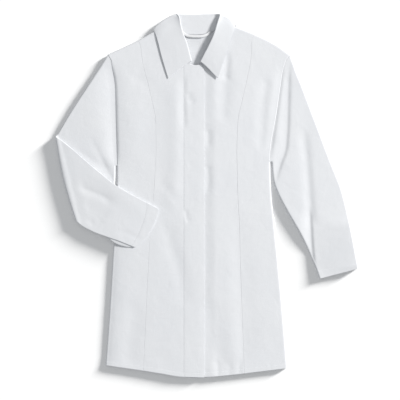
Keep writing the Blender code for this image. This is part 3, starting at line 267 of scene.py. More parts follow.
def foldSum(folds, xy):
    flat = xy.reshape(-1, 2)
    total = np.zeros(len(flat))
    for _, points, widthLess, widthMore, heightStart, heightEnd in folds:
        line = through(points, np.linspace(0, 1, coat["foldSteps"]))
        reach = coat["foldReach"] * max(widthLess, widthMore)
        close = ((flat > line.min(0) - reach) & (flat < line.max(0) + reach)).all(1)
        if not close.any():
            continue
        near = flat[close]
        index, place, foot = nearest(line, near)
        share = (index + place) / (len(line) - 1)
        across = unit((line[1:] - line[:-1])[index])
        normal = np.column_stack([across[:, 1], -across[:, 0]])
        normal *= np.where(normal[:, :1] < 0, -1.0, 1.0)
        offset = near - foot
        width = np.where((offset * normal).sum(1) < 0, widthLess, widthMore)
        height = heightStart + (heightEnd - heightStart) * share
        height *= ease(share / coat["foldTaper"]) * ease((1 - share) / coat["foldTaper"])
        total[close] += height * np.exp(-((offset**2).sum(1)) / width**2)
    return total.reshape(xy.shape[:-1])


def atLeast(height, least):  # like max, but soft
    past = height - least
    return least + (past + np.sqrt(past**2 + coat["softTouch"])) / 2


def topHeight(xy):
    crown = coat["crown"] * np.exp(-((xy[..., 0] / coat["crownWidth"]) ** 2))
    return atLeast(coat["frontRise"] + crown + foldSum(mainFolds + creases, xy), coat["touching"])


def lapHeight(xy):
    bend = ease((xy[..., 0] - coat["lapBend"]) / (coat["lapEdge"] - coat["lapBend"]))
    return topHeight(xy) - coat["edgeDrop"] * bend


def underlapHeight(xy):
    past = xy[..., 0] - coat["lapEdge"]
    step = coat["underlapStep"] * (1 - ease(past / coat["underlapRun"]))
    deep = coat["underlapDeep"] * ease(-past / coat["underlapDeepRun"])
    return atLeast(topHeight(xy) - step - deep, coat["touching"])


def backHeight(xy):
    near = ease((xy[..., 1] - coat["collarUnderY"]) / coat["collarLiftRun"])
    beside = ease((coat["collarUnderX"] - np.abs(xy[..., 0])) / coat["collarLiftRun"])
    return coat["rest"] + coat["collarLift"] * near * beside


def roll(points, shoulder, height):  # lays the unrolled cloth over the shoulder's edge
    flat = points.reshape(-1, 2)
    line = edgeLine(shoulder)
    up = turned(unit(np.gradient(line, axis=0)))
    index, place, foot = nearest(line, flat)
    normal = unit(up[index] + (up[index + 1] - up[index]) * place[:, None])
    out = ((flat - foot) * normal).sum(1)
    past = out + edgeRound
    turn = np.clip(past / edgeRound, 0, math.pi)
    brinkAt = flat - normal * np.maximum(past, 0)[:, None]
    high = height(brinkAt)
    low = backHeight(brinkAt)
    swell = edgeRound * np.sin(turn) - np.maximum(past - wrap, 0)
    xy = brinkAt + normal * swell[:, None]
    z = (high + low) / 2 + (high - low) / 2 * np.cos(turn)
    return np.column_stack([xy, z]).reshape(points.shape[:-1] + (3,))


def rolled(points, shoulder, height):
    reach = coat["normalStep"]
    right, up = np.array([reach, 0.0]), np.array([0.0, reach])
    place = roll(points, shoulder, height)
    across = roll(points + right, shoulder, height) - roll(points - right, shoulder, height)
    upwards = roll(points + up, shoulder, height) - roll(points - up, shoulder, height)
    return place, unit(np.cross(across, upwards))


def shoulderNormals(points, shoulder):
    line = edgeLine(shoulder)
    index, _, _ = nearest(line, points)
    return turned(unit((line[1:] - line[:-1])[index]))


def overShoulder(points, amount, shoulder):
    _, _, foot = nearest(edgeLine(shoulder), points)
    return foot + shoulderNormals(foot, shoulder) * np.broadcast_to(amount, len(points))[:, None]


def neckEdge(columns):  # the back's neckline, between the shoulder seams
    ends = [
        overShoulder(np.array([half["neck"][-1][1:3]], float), underShoulder, half["shoulder"])[0]
        for half in (halves["right"], halves["left"])
    ]
    return through([ends[0], *backNeck, ends[1]], np.linspace(0, 1, columns + 1))


def unrolled(rows, at, shoulder):
    values = along(rows, at)
    return values[:, :2] + shoulderNormals(values[:, :2], shoulder) * values[:, 2:3]


def brink(levels, half):  # where the side's edge starts to round, its direction and the cloth from there
    low = levels <= underarm
    edge = along(half["side"], np.minimum(levels, underarm))
    ahead = along(half["side"], np.minimum(levels, underarm - 0.01) + 0.005)
    behind = along(half["side"], np.minimum(levels, underarm - 0.01) - 0.005)
    run = unit(ahead - behind)
    outward = np.column_stack([run[:, 1], -run[:, 0]])
    outward *= np.where(outward[:, 0] * edge[:, 0] < 0, -1.0, 1.0)[:, None]
    share = np.clip((levels - underarm) / (climb - underarm), 0, 1)
    x, y, start, top, _ = half["notch"]
    ray = heading(start + (top - start) * share)
    centre = np.array([x, y])
    radius = coat["notchRadius"] + edgeRound
    place = np.where(low[:, None], edge - outward * edgeRound, centre + ray * radius)
    outward = np.where(low[:, None], outward, -ray)
    end = centre + heading(top) * radius
    rows = [(climb, end[0], end[1], 0)] + list(half["armhole"])
    seam = unrolled(rows, np.maximum(levels, climb), half["shoulder"])
    place = np.where((levels >= climb)[:, None], seam, place)
    return place, outward, wrap * (1 - share)


bodyGrid = {
    "hemRows": (0, 0.8, 2, 4.5, 7.5, 9.6, 10.6, 11.2, 11.8, 12.8, 15, 18.5, 22.5),  # mm from the hem
    "length": 880.0,
    "lowRows": 118,
    "climbRows": 16,
    "midRows": 56,
    "topRows": 16,
    "seamColumns": (0, 0.7, 1.6, 3, 5, 8, 12),  # mm from the princess seam
    "sideColumns": 34,
    "roundColumns": 10,
    "frontColumns": {"right": 18, "left": 12},  # from there to the closing
    "widthSteps": 160,
    "lapStitchColumns": (-2.2, -1.2, -0.5, 0, 0.5, 1.2, 2.2),  # mm from the closing's stitches
    "lapMiddle": (5, 4.5, 13),  # mm from those stitches, mm from the edge, columns
    "lapEdgeColumns": (2.5, 1.4, 0.7, 0.25, 0),  # mm from the closing's edge
    "underlapColumns": (62, 30),  # x of the first, columns
    "backColumns": (22, 26, 22),
    "backRows": (90, 64),
    "slopeStep": 0.5,
}


def frontLevels():
    hem = np.array(bodyGrid["hemRows"]) / bodyGrid["length"]
    low = np.linspace(hem[-1], underarm, bodyGrid["lowRows"] + 1)[1:-1]
    rise = np.linspace(underarm, climb, bodyGrid["climbRows"] + 1)[:-1]
    mid = np.linspace(climb, coat["topLevel"], bodyGrid["midRows"] + 1)[:-1]
    top = np.linspace(coat["topLevel"], 1, bodyGrid["topRows"])
    return np.concatenate([hem, low, rise, mid, top])


def sideFront(half, levels):
    sign, princess, shoulder = half["sign"], half["princess"], half["shoulder"]
    start = unrolled(princess, levels, shoulder) + np.array([sign * coat["seamGap"] / 2, 0])
    end, outward, cloth = brink(levels, half)
    rounded = cloth / wrap
    flatColumns, roundColumns = bodyGrid["sideColumns"], bodyGrid["roundColumns"]
    share = np.linspace(0, 1, flatColumns + roundColumns + 1)[:, None]
    flatPart = 1 - rounded * roundColumns / (flatColumns + roundColumns)
    onTop = np.minimum(share / flatPart, 1)
    fixed = np.array(bodyGrid["seamColumns"])
    width = np.linalg.norm(end - start, axis=1)
    last = len(fixed) - 1
    onTop = fixed[last] / width + (1 - fixed[last] / width) * (onTop - onTop[last]) / (1 - onTop[last])
    onTop[: last + 1] = fixed[:, None] / width
    plan = start + (end - start) * onTop[..., None]
    amount = along(princess, levels)[:, 2]
    top = bodyGrid["topRows"]
    for column in plan:
        straight = column[-top:].copy()
        column[-top:] = overShoulder(straight, amount[-top:], shoulder)
        shift = column[-top] - straight[0]
        fade = ease((levels[:-top] - coat["shiftFrom"]) / (coat["topLevel"] - coat["shiftFrom"]))
        column[:-top] += shift * fade[:, None]
    place, normal = rolled(plan, shoulder, topHeight)
    past = np.maximum(share - flatPart, 0) / np.maximum(1 - flatPart, 1e-9) * cloth
    past = np.where(rounded > 0, past, 0)
    turn = past / edgeRound
    high = place[..., 2]
    middle = (high - backHeight(plan)) / 2
    around = place.copy()
    around[..., :2] += outward * (edgeRound * np.sin(turn))[..., None]
    around[..., 2] = high - middle * (1 - np.cos(turn))
    roundNormal = np.concatenate(
        [outward * (middle * np.sin(turn))[..., None], (edgeRound * np.cos(turn))[..., None]], axis=2
    )
    weight = ease(turn / coat["roundBlend"])[..., None]
    normal = unit(normal * (1 - weight) + unit(roundNormal) * weight)
    place = np.where((turn > 0)[..., None], around, place)
    flat = plan + outward * past[..., None]
    return place, normal, flat


def frontTop(share, half):  # the upper boundary of a centre front: shoulder seam, neckline, closing
    forShoulder, forNeck, forLap = coat["topShares"]
    shoulder = half["shoulder"]
    corner = unrolled(half["neck"], np.array([1.0]), shoulder)[0]
    seam = unrolled(half["princess"], np.array([1.0]), shoulder)[0]
    straight = seam + (corner - seam) * np.clip(share / forShoulder, 0, 1)[:, None]
    onShoulder = overShoulder(straight, over, shoulder)
    onNeck = unrolled(half["neck"], 1 - np.clip((share - forShoulder) / forNeck, 0, 1), shoulder)
    onLap = through(half["lapTop"], np.clip((share - forShoulder - forNeck) / forLap, 0, 1))
    made = np.where((share < forShoulder)[:, None], onShoulder, onNeck)
    return np.where((share > forShoulder + forNeck)[:, None], onLap, made)


def frontPlan(share, levels, half):  # share and levels are [column, row]
    sign, shoulder = half["sign"], half["shoulder"]
    left = unrolled(half["princess"], levels[0], shoulder) - np.array([sign * coat["seamGap"] / 2, 0])
    edgeX = np.full(levels.shape[1], -sign * coat["lapEdge"])
    right = np.column_stack([edgeX, along(lapLevels, levels[0])[:, 0]])
    leftEnd = unrolled(half["princess"], np.array([0.0, 1.0]), shoulder) - np.array([sign * coat["seamGap"] / 2, 0])
    rightEnd = np.array([[edgeX[0], lapLevels[0][1]], [edgeX[0], lapLevels[-1][1]]], float)
    up = levels[..., None]
    across = share[..., None]
    leftLine = (1 - up) * leftEnd[0] + up * leftEnd[1]
    rightLine = (1 - up) * rightEnd[0] + up * rightEnd[1]
    top = frontTop(share.reshape(-1), half).reshape(share.shape + (2,))
    bottom = through(half["hem"], share)
    topShift = top - (1 - across) * leftEnd[1] - across * rightEnd[1]
    bottomShift = bottom - (1 - across) * leftEnd[0] - across * rightEnd[0]
    plan = (1 - across) * leftLine + across * rightLine
    plan = plan + (1 - across) ** 2 * (left - leftLine) + across**2 * (right - rightLine)
    return plan + (1 - up) * bottomShift + up * topShift


def centreFront(half, levels, height, fixedX, seamColumns):
    dense = np.linspace(0, 1, bodyGrid["widthSteps"] + 1)
    everywhere = np.broadcast_to(levels, (len(dense), len(levels)))
    x = frontPlan(np.broadcast_to(dense[:, None], everywhere.shape), everywhere, half)[..., 0]
    sign = half["sign"]
    fixed = np.array(bodyGrid["seamColumns"])
    columns = []
    for row in range(len(levels)):
        first = x[0, row] - sign * fixed
        even = np.linspace(first[-1], fixedX[0], seamColumns + 1)[1:-1]
        wanted = np.concatenate([first, even, fixedX])
        columns.append(np.interp(-sign * wanted, -sign * x[:, row], dense))
    share = np.array(columns).T
    share[0], share[-1] = 0, 1
    plan = frontPlan(share, np.broadcast_to(levels, share.shape), half)
    place, normal = rolled(plan, half["shoulder"], height)
    return place, normal, plan


def backPanel(levels):
    edges = []
    for half in (halves["right"], halves["left"]):
        place, outward, _ = brink(np.minimum(levels, underarm), half)
        place = place - outward * coat["seamGap"]
        x, y = place[-1]
        tip = half["armhole"][-1]
        rows = [(underarm, x, y, 0), (climb, x, y + coat["backArmholeRise"], 0)] + half["armhole"][1:-3]
        rows += [(coat["topLevel"], tip[1], tip[2], -coat["backTipDrop"]), (1.0, tip[1], tip[2], underShoulder)]
        upper = unrolled(rows, np.maximum(levels, underarm), half["shoulder"])
        edges.append(np.where((levels > underarm)[:, None], upper, place))
    left, right = edges
    first, middle, last = bodyGrid["backColumns"]
    neck = neckEdge(middle)
    start = left[-1] + (neck[0] - left[-1]) * np.linspace(0, 1, first + 1)[:-1, None]
    start = overShoulder(start, underShoulder, halves["right"]["shoulder"])
    end = neck[-1] + (right[-1] - neck[-1]) * np.linspace(0, 1, last + 1)[1:, None]
    end = overShoulder(end, underShoulder, halves["left"]["shoulder"])
    above = np.concatenate([start, neck, end])
    run = np.abs(above[:, 0] - above[0, 0])
    across = run / run[-1]
    below = through(backHem, across)
    below[0], below[-1] = left[0], right[0]
    up, side = levels[:, None], across[:, None, None]
    leftLine = (1 - up) * left[0] + up * left[-1]
    rightLine = (1 - up) * right[0] + up * right[-1]
    plan = (1 - side) * leftLine + side * rightLine
    plan = plan + (1 - side) * (left - leftLine) + side * (right - rightLine)
    topShift = above - (1 - side[:, 0]) * left[-1] - side[:, 0] * right[-1]
    bottomShift = below - (1 - side[:, 0]) * left[0] - side[:, 0] * right[0]
    plan = plan + (1 - up) * bottomShift[:, None] + up * topShift[:, None]
    place = np.concatenate([plan, backHeight(plan)[..., None]], axis=2)
    right, up = np.array([bodyGrid["slopeStep"], 0.0]), np.array([0.0, bodyGrid["slopeStep"]])
    slopeX = backHeight(plan + right) - backHeight(plan - right)
    slopeY = backHeight(plan + up) - backHeight(plan - up)
    return place, unit(np.stack([-slopeX, -slopeY, np.ones_like(slopeX)], axis=-1)), plan


sleeves = {
    "left": {
        "rows": [  # share of the length, inner x, y, outer x, y, swell
            (0.00, 191.9, 84, 237.5, 353.8, 7.0), (0.05, 191.9, 83, 252, 314, 7.0),
            (0.10, 193.0, 66, 267, 277, 7.0), (0.22, 196.5, 38, 300, 190, 7.0), (0.38, 207, 8, 337, 92, 7.0),
            (0.52, 231, -38, 367, 14, 7.0), (0.68, 260, -88, 385.5, -62, 6.5), (0.82, 283, -133, 396.5, -118, 6.0),
            (0.92, 297, -165, 402.5, -152, 5.5), (1.00, 311.5, -205, 407.5, -179.5, 5.0),
        ],
        "turns": False,
        "length": 560.0,
    },
    "right": {
        "rows": [  # share, inner x, y, outer x, y, swell, height of its back, of its front, turn
            (0.00, -198.9, 74, -217.5, 354, 7.0, 0.8, 6.2, 0), (0.05, -198.9, 72, -234, 327, 6.8, 0.8, 6.2, 0),
            (0.10, -198.8, 52, -249, 304, 6.5, 0.8, 6.2, 0), (0.19, -200.5, 27, -275, 264, 5.5, 0.8, 6.0, 0),
            (0.28, -226, -2, -303, 221, 4.5, 0.8, 5.6, 0), (0.36, -253, -30, -326, 183, 3.5, 0.8, 5.0, 0),
            (0.42, -282, -49, -340, 158, 3.0, 0.8, 4.4, 0), (0.46, -291, -49, -342.5, 154, 3.0, 0.8, 4.2, 40),
            (0.50, -296, -50, -343.5, 151, 3.0, 0.8, 4.2, 90), (0.54, -292, -61, -342.5, 148, 3.0, 0.8, 4.2, 140),
            (0.58, -282.5, -72.5, -335, 142, 3.5, 9.2, 6.8, 180),
            (0.65, -256, -86.5, -309, 121, 5.0, 10.2, 7.6, 180), (0.73, -231, -96, -276, 92, 6.0, 10.6, 7.9, 180),
            (0.81, -208, -104, -238, 60, 6.5, 11.0, 8.2, 180), (0.88, -188, -111, -196, 27, 6.5, 11.4, 8.3, 180),
            (0.94, -168, -119, -142, -4, 6.0, 11.2, 8.3, 180), (1.00, -150, -126, -93, -29, 5.0, 10.4, 8.2, 180),
        ],
        "turns": True,
        "length": 590.0,
    },
    "notchShare": 0.05,
    "tableRound": 7.0,  # the edgeRound that the tables' swells were drawn for
    "bendAxis": 5.4,  # height of the line that the right sleeve bends about
    "bendFrom": 0.42,
    "bendTo": 0.58,
    "bendEase": 0.06,  # its edges turn into the bend over this share of its length
    "foldEase": 0.1,  # and its folds fade out towards the bend over this one
    "bendBow": 6.0,  # the folded elbow's edge is bowed outwards
    "innerEase": 0.08,  # the inner edge leaves the notch over this share
    "outerEase": 0.07,  # and the outer edge the shoulder's tip
    "joinShare": 0.26,  # the sections have settled into the tube by this share
    "joinRows": 17,
    "joinPower": 1.7,  # they lie closer near the seam
    "lengthRows": 122,
    "cuffRows": (22.5, 21.4, 20.6, 20, 19.4, 18.6, 16, 12, 8, 4.5, 2, 0.8, 0),  # mm from the cuff
    "cuffStitch": 20,
    "stitchesAbove": 2.0,
    "sinkFrom": 0.04,
    "lying": 1.0,  # lower than this, the cloth rests on the surface and stays even
    "thin": 0.06,  # the forearm that lies on the coat has flat edges
    "thinRun": 0.1,
    "openFold": {"from": 0.77, "to": 0.995, "out": 10.0, "run": 0.3},  # of the bent sleeve's lower edge
    "leaf": ((0, 0.15, 0.45, 0.75, 1), (0, 0, -4.0, 10.0, 10.0)),  # its form round that edge, and how far out
    "cuffCurve": 12.0,  # its cuff is rounded, over the last part
    "cuffCurveRun": 0.12,
    "cuffCurvePower": 0.6,
}


def armholeRing(half, panel, normals, backEdge, levels):
    first = rowAt(levels, underarm)
    front, frontNormals = panel[-1, first:], normals[-1, first:]
    ring = np.concatenate([front, backEdge])
    ringNormals = np.concatenate([frontNormals, np.tile([0.0, 0.0, -1.0], (len(backEdge), 1))])
    run = unit(np.roll(ring, -1, axis=0) - np.roll(ring, 1, axis=0))
    away = half["sign"] * unit(np.cross(run, ringNormals))
    away[0] = (0, 1, 0)
    return ring + away * coat["seamGap"], ringNormals


def edgeNormals(table, shares, which):
    near = along(table, np.clip(shares + 0.01, sleeves["notchShare"], 1))
    past = along(table, np.clip(shares - 0.01, sleeves["notchShare"], 1))
    rows = along(table, shares)
    side = slice(0, 2) if which == 0 else slice(2, 4)
    other = slice(2, 4) if which == 0 else slice(0, 2)
    run = unit(near[:, side] - past[:, side])
    across = unit(rows[:, side] - rows[:, other])
    return turned(run, across), across


def sleeveTube(half, settings, ring, ringNormals, levels, shares):
    sign, notch, shoulder, armhole = half["sign"], half["notch"], half["shoulder"], half["armhole"]
    turns = settings["turns"]
    radius = coat["notchRadius"]
    axis = sleeves["bendAxis"]
    centre = np.array(notch[:2])
    seamAngle, topAngle, endAngle = notch[2:]
    table = [list(row) for row in settings["rows"]]
    table[1][1:3] = list(centre + heading(endAngle) * radius)
    table[0][1:3] = table[1][1:3]
    if turns:
        for row in table:
            flipped = -1 if row[8] >= 180 else 1
            row[6] = flipped * (axis - row[6])
            row[7] = flipped * (axis - row[7])
    rows = along(table, shares)
    levels = levels[rowAt(levels, underarm) :]
    count = len(levels)
    amount = along(armhole, np.maximum(levels, armhole[0][0]))[:, 2]
    pastBrink = np.where(levels >= coat["topLevel"], amount + edgeRound, -1.0)
    climbing = np.clip((levels - underarm) / (climb - underarm), 0, 1)
    plan = ring[:, :2]
    top = [i for i in range(count) if levels[i] >= climb - 1e-6 and pastBrink[i] <= 0]
    tip = np.array(armhole[-1][1:3], float)
    tipNormal = shoulderNormals(tip[None], shoulder)[0]
    outStart = tip - tipNormal * edgeRound
    topStart = centre + heading(topAngle) * (radius + edgeRound)
    lowStart = centre + heading(seamAngle) * (radius + edgeRound)
    run = lengths(np.concatenate([[topStart], plan[top][1:], [outStart]]))
    topShare = run[:-1] / run[-1]
    low = list(range(count, len(ring)))
    run = lengths(np.concatenate([[outStart], plan[low], [lowStart]]))
    lowShare = 1 - run[1:-1] / run[-1]
    inner, innerAcross = edgeNormals(table, shares, 0)
    outer, outerAcross = edgeNormals(table, shares, 1)
    middle = (sleeves["bendFrom"] + sleeves["bendTo"]) / 2
    reachOfBend = (sleeves["bendTo"] - sleeves["bendFrom"]) / 2
    straight = ease((np.abs(shares - middle) - reachOfBend) / sleeves["bendEase"]) if turns else np.ones(len(shares))
    inner = unit(inner * straight[:, None] + innerAcross * (1 - straight)[:, None])
    outer = unit(outer * straight[:, None] + outerAcross * (1 - straight)[:, None])
    settled = ease((shares - sleeves["notchShare"]) / sleeves["innerEase"])[:, None]
    inner = unit(-heading(endAngle) * (1 - settled) + inner * settled)
    settled = ease(shares / sleeves["outerEase"])[:, None]
    outer = unit(tipNormal * (1 - settled) + outer * settled)
    points = np.zeros((len(ring), len(shares), 3))
    fading = np.clip(1 - shares / sleeves["joinShare"], 0, 1) ** 2
    joined = ease(shares / sleeves["joinShare"])

    def innerEdge(k, startAngle):
        if shares[k] > sleeves["notchShare"]:
            return rows[k, :2] - inner[k] * rows[k, 4], inner[k], rows[k, 4]
        ray = heading(startAngle + (endAngle - startAngle) * shares[k] / sleeves["notchShare"])
        return centre + ray * (radius + edgeRound), -ray, edgeRound

    rows[:, 4] *= edgeRound / sleeves["tableRound"]
    if turns:
        rows[:, 4] *= 1 - (1 - sleeves["thin"]) * ease((shares - sleeves["bendTo"]) / sleeves["thinRun"])
    openFold = sleeves["openFold"]
    for k in range(1, len(shares)):
        share = shares[k]
        swell = rows[k, 4]
        opened = (share - openFold["from"]) / (openFold["to"] - openFold["from"]) if turns else 0.0
        opened = math.sin(math.pi * min(max(opened, 0), 1))
        insetOut = rows[k, 2:4] - outer[k] * swell
        base = np.zeros((len(ring), 2))
        bulge = np.zeros((len(ring), 2))
        angle = np.zeros(len(ring))
        for i in range(count):
            if climbing[i] < 1:
                base[i], way, size = innerEdge(k, seamAngle + (topAngle - seamAngle) * climbing[i])
                angle[i] = math.pi * (1 - climbing[i])
                bulge[i] = way * size
                if opened > 0:
                    base[i] += way * opened * np.interp(climbing[i], *sleeves["leaf"])
            elif pastBrink[i] > 0:
                base[i] = insetOut
                angle[i] = min(pastBrink[i] / edgeRound, math.pi)
                bulge[i] = outer[k] * swell
        insetTop, _, _ = innerEdge(k, topAngle)
        for i, place in zip(top, topShare):
            drift = plan[i] - (topStart + (outStart - topStart) * place)
            base[i] = insetTop + (insetOut - insetTop) * place + drift * fading[k]
            if opened > 0:
                base[i] += inner[k] * opened * openFold["out"] * (1 - ease(place / openFold["run"]))
        insetLow, _, _ = innerEdge(k, seamAngle)
        for i, place in zip(low, lowShare):
            drift = plan[i] - (lowStart + (outStart - lowStart) * place)
            base[i] = insetLow + (insetOut - insetLow) * place + drift * fading[k]
            angle[i] = math.pi
        frontReach = axis - topHeight(base)
        backReach = np.full(len(ring), axis - coat["rest"])
        turn = 0.0
        if turns:
            turn = math.radians(rows[k, 7])
            upper = ease((sleeves["bendFrom"] - share) / sleeves["foldEase"])
            lower = ease((share - sleeves["bendTo"]) / sleeves["foldEase"])
            ownFront = rows[k, 6] - upper * foldSum(armFolds, base)
            frontReach = frontReach * (1 - joined[k]) + ownFront * joined[k]
            ownBack = rows[k, 5] + lower * foldSum(forearmFolds, base)
            backReach = backReach * (1 - joined[k]) + ownBack * joined[k]
        mixed = (1 + np.cos(angle)) / 2
        reach = frontReach * mixed + backReach * (1 - mixed)
        across = unit(rows[k, 2:4] - rows[k, :2])
        width = np.linalg.norm(rows[k, 2:4] - rows[k, :2])
        outward = np.array([-across[1], across[0]])
        points[:, k, :2] = base + bulge * np.sin(angle)[:, None] + outward * (reach * math.sin(turn))[:, None]
        points[:, k, 2] = axis - reach * math.cos(turn)
        if turns:
            place = np.clip(((base - rows[k, :2]) @ across) / width, 0, 1)
            bow = sleeves["bendBow"] * math.sin(turn) * 4 * place * (1 - place)
            points[:, k, :2] += outward * bow[:, None]
            curve = sleeves["cuffCurve"] * ease((share - 1 + sleeves["cuffCurveRun"]) / sleeves["cuffCurveRun"])
            place = np.clip(((points[:, k, :2] - rows[k, :2]) @ across) / width, 0, 1)
            forward = np.array([across[1], -across[0]])
            points[:, k, :2] += forward * curve * (4 * place * (1 - place))[:, None] ** sleeves["cuffCurvePower"]
    points[:, 0] = ring
    alongRing = np.roll(points, -1, axis=0) - np.roll(points, 1, axis=0)
    normals = sign * unit(np.cross(np.gradient(points, axis=1), alongRing))
    normals[:, 0] = ringNormals
    return points, normals


collarCut = {
    "right": [  # share from its end to the centre back, roll x, y, z, turn, belly, outer edge x, y, z
        (0.00, -9.5, 336.5, 9.4, 0, 0, -66.5, 294.5, 9.0), (0.13, -15, 358, 10.0, 0, 0, -75, 322, 9.4),
        (0.27, -22, 384, 10.6, 0, 0, -84, 353, 9.6), (0.40, -32, 411, 11.4, 6, 0, -91.5, 383, 9.6),
        (0.50, -37.5, 434, 11.4, 30, 2, -98, 405, 8.6), (0.55, -39.5, 447, 10.5, 60, 4, -101, 412, 7.0),
        (0.585, -44, 453, 8.5, 95, 7, -103, 418, 4.6), (0.62, -46, 454.5, 5.5, 135, 7, -103, 417, 1.2),
        (0.67, -42, 454.5, 2.2, 172, 2, -94, 409, 0.8), (0.82, -24, 453.5, 2.2, 180, 0, -52, 399.5, 0.8),
        (1.00, 0, 452.5, 2.2, 180, 0, 0, 396.5, 0.8),
    ],
    "left": [
        (0.00, 14, 335, 10.9, 0, 0, 56.5, 294, 10.6), (0.13, 23.5, 353, 12.7, 0, 0, 66, 322, 12.2),
        (0.27, 36.5, 378, 13.8, 0, 0, 76.5, 353, 13.2), (0.40, 48.5, 405, 14.2, 6, 0, 87, 387, 13.4),
        (0.50, 57, 433, 13.2, 30, 1, 96, 411, 12.4), (0.585, 63, 452, 10.0, 95, 4, 102, 427.5, 8.4),
        (0.62, 58, 454.5, 6.5, 135, 4, 103.5, 426, 4.0), (0.67, 49, 454.5, 2.2, 172, 1, 95, 418, 0.8),
        (0.82, 25, 454, 2.2, 180, 0, 52, 403, 0.8), (1.00, 0, 452.5, 2.2, 180, 0, 0, 396.5, 0.8),
    ],
    "frontShare": 0.62,
    "frontStations": 74,
    "backStations": 36,
    "standSteps": 14,
    "rollSteps": 8,
    "fallSteps": (0, 0.04, 0.1, 0.18, 0.27, 0.36, 0.45, 0.54, 0.63)
    + (0.71, 0.78, 0.84, 0.885, 0.91, 0.93, 0.96, 0.985, 1),
    "stitchStep": 0.91,
    "rollRadius": {"right": 1.1, "left": 1.4},  # in front, where it stands
    "pressedRadius": 1.2,  # behind, where it lies
    "standPull": 0.6,  # how far stand and fall keep their directions, as shares of their length
    "fallPull": 0.8,
    "neckGap": 0.5,
    "cloth": 1.1,
}


def neckline(half, shares):  # the front's neckline from the collar's end to the shoulder seam
    height = lapHeight if half["sign"] < 0 else underlapHeight
    place, normal = rolled(unrolled(half["neck"], shares, half["shoulder"]), half["shoulder"], height)
    run = unit(np.gradient(place, axis=0))
    return place, normal, half["sign"] * unit(np.cross(run, normal))


def blendCurve(start, startWay, end, endWay, steps):
    t = np.asarray(steps)[:, None]
    near = start * (1 + 2 * t) * (1 - t) ** 2 + startWay * t * (1 - t) ** 2
    return near + end * t**2 * (3 - 2 * t) + endWay * t**2 * (t - 1)


def collarSheet():
    cut = collarCut
    front = np.linspace(0, 1, cut["frontStations"] + 1)
    half = cut["backStations"] // 2
    behind = cut["frontShare"] + (1 - cut["frontShare"]) * np.arange(1, half + 1) / half
    shares = np.concatenate([front * cut["frontShare"], behind])
    rows = np.concatenate([along(cut["right"], shares), along(cut["left"], shares)[:-1][::-1]])
    right, left = neckline(halves["right"], front), neckline(halves["left"], front)
    plan = neckEdge(cut["backStations"])
    edge = np.column_stack([plan, backHeight(plan)])
    run = unit(np.gradient(edge, axis=0))
    side = np.column_stack([-run[:, 1], run[:, 0], np.zeros(len(run))])
    down = np.tile([0.0, 0.0, -1.0], (len(edge), 1))
    start = np.concatenate([right[0], edge[1:-1], left[0][::-1]])
    startNormals = np.concatenate([right[1], down[1:-1], left[1][::-1]])
    away = np.concatenate([right[2], side[1:-1], left[2][::-1]])
    rollLine = rows[:, :3]
    way = unit(np.gradient(rollLine * np.array([1, 1, 0]), axis=0))
    inward = np.column_stack([way[:, 1], -way[:, 0], np.zeros(len(way))])
    up = np.array([0.0, 0.0, 1.0])
    steps = np.array(cut["fallSteps"])
    pressed, radius = cut["pressedRadius"], cut["rollRadius"]
    standing = np.where(np.arange(len(rows)) < len(shares), radius["right"], radius["left"])
    stations = []
    for k, row in enumerate(rows):
        turn = math.radians(row[3])
        toStand = inward[k] * math.sin(turn) - up * math.cos(turn)
        apex = inward[k] * math.cos(turn) + up * math.sin(turn)
        begin = start[k] + away[k] * cut["neckGap"]
        flat = abs(math.cos(turn))
        size = pressed + (standing[k] - pressed) * max(math.cos(turn), 0)
        middle = row[:3] - apex * (size - pressed)
        standEnd = middle + toStand * size
        fallStart = middle - toStand * size
        reach = np.linalg.norm(standEnd - begin)
        arrive = unit(apex * flat + unit(standEnd - begin) * (1 - flat))
        pull = reach * cut["standPull"]
        stand = blendCurve(begin, away[k] * pull, standEnd, arrive * pull, np.linspace(0, 1, cut["standSteps"] + 1))
        angles = np.linspace(0, math.pi, cut["rollSteps"] + 1)[1:-1, None]
        bend = middle + (toStand * np.cos(angles) + apex * np.sin(angles)) * size
        edgeAt = row[5:8]
        reach = np.linalg.norm(edgeAt - fallStart)
        chord = unit(edgeAt - fallStart)
        leave = unit(-apex * flat + chord * (1 - flat))
        fall = blendCurve(fallStart, leave * reach * cut["standPull"], edgeAt, chord * reach * cut["fallPull"], steps)
        beside = np.array([-chord[1], chord[0], 0.0])
        beside *= -1.0 if beside[1] < 0 else 1.0
        bulge = -toStand * flat * (row[3] < 90) + beside * math.sin(turn)
        fall = fall + bulge * np.sin(steps * math.pi)[:, None] * row[4]
        fall[:, 2] = np.maximum(fall[:, 2], coat["rest"] + 0.2)
        stations.append(np.concatenate([stand, bend, fall]))
    points = np.array(stations)
    normals = unit(np.cross(np.gradient(points, axis=0), np.gradient(points, axis=1)))
    agree = np.where((normals[:, 0] * startNormals).sum(1) < 0, -1.0, 1.0)[:, None]
    normals[:, 0] = startNormals * agree
    return points, normals


def ripples(points):  # the cloth's small unevenness, the same on both sides of a seam
    scale = coat["rippleSize"]
    flat = points.reshape(-1, 3)
    made = np.empty(len(flat))
    for i, (x, y, z) in enumerate(flat):
        spot = Vector((x * scale, y * scale * 0.7, z * 0.01))
        made[i] = noise.noise(spot) + 0.4 * noise.noise(spot * 2.3)
    return made.reshape(points.shape[:-1])


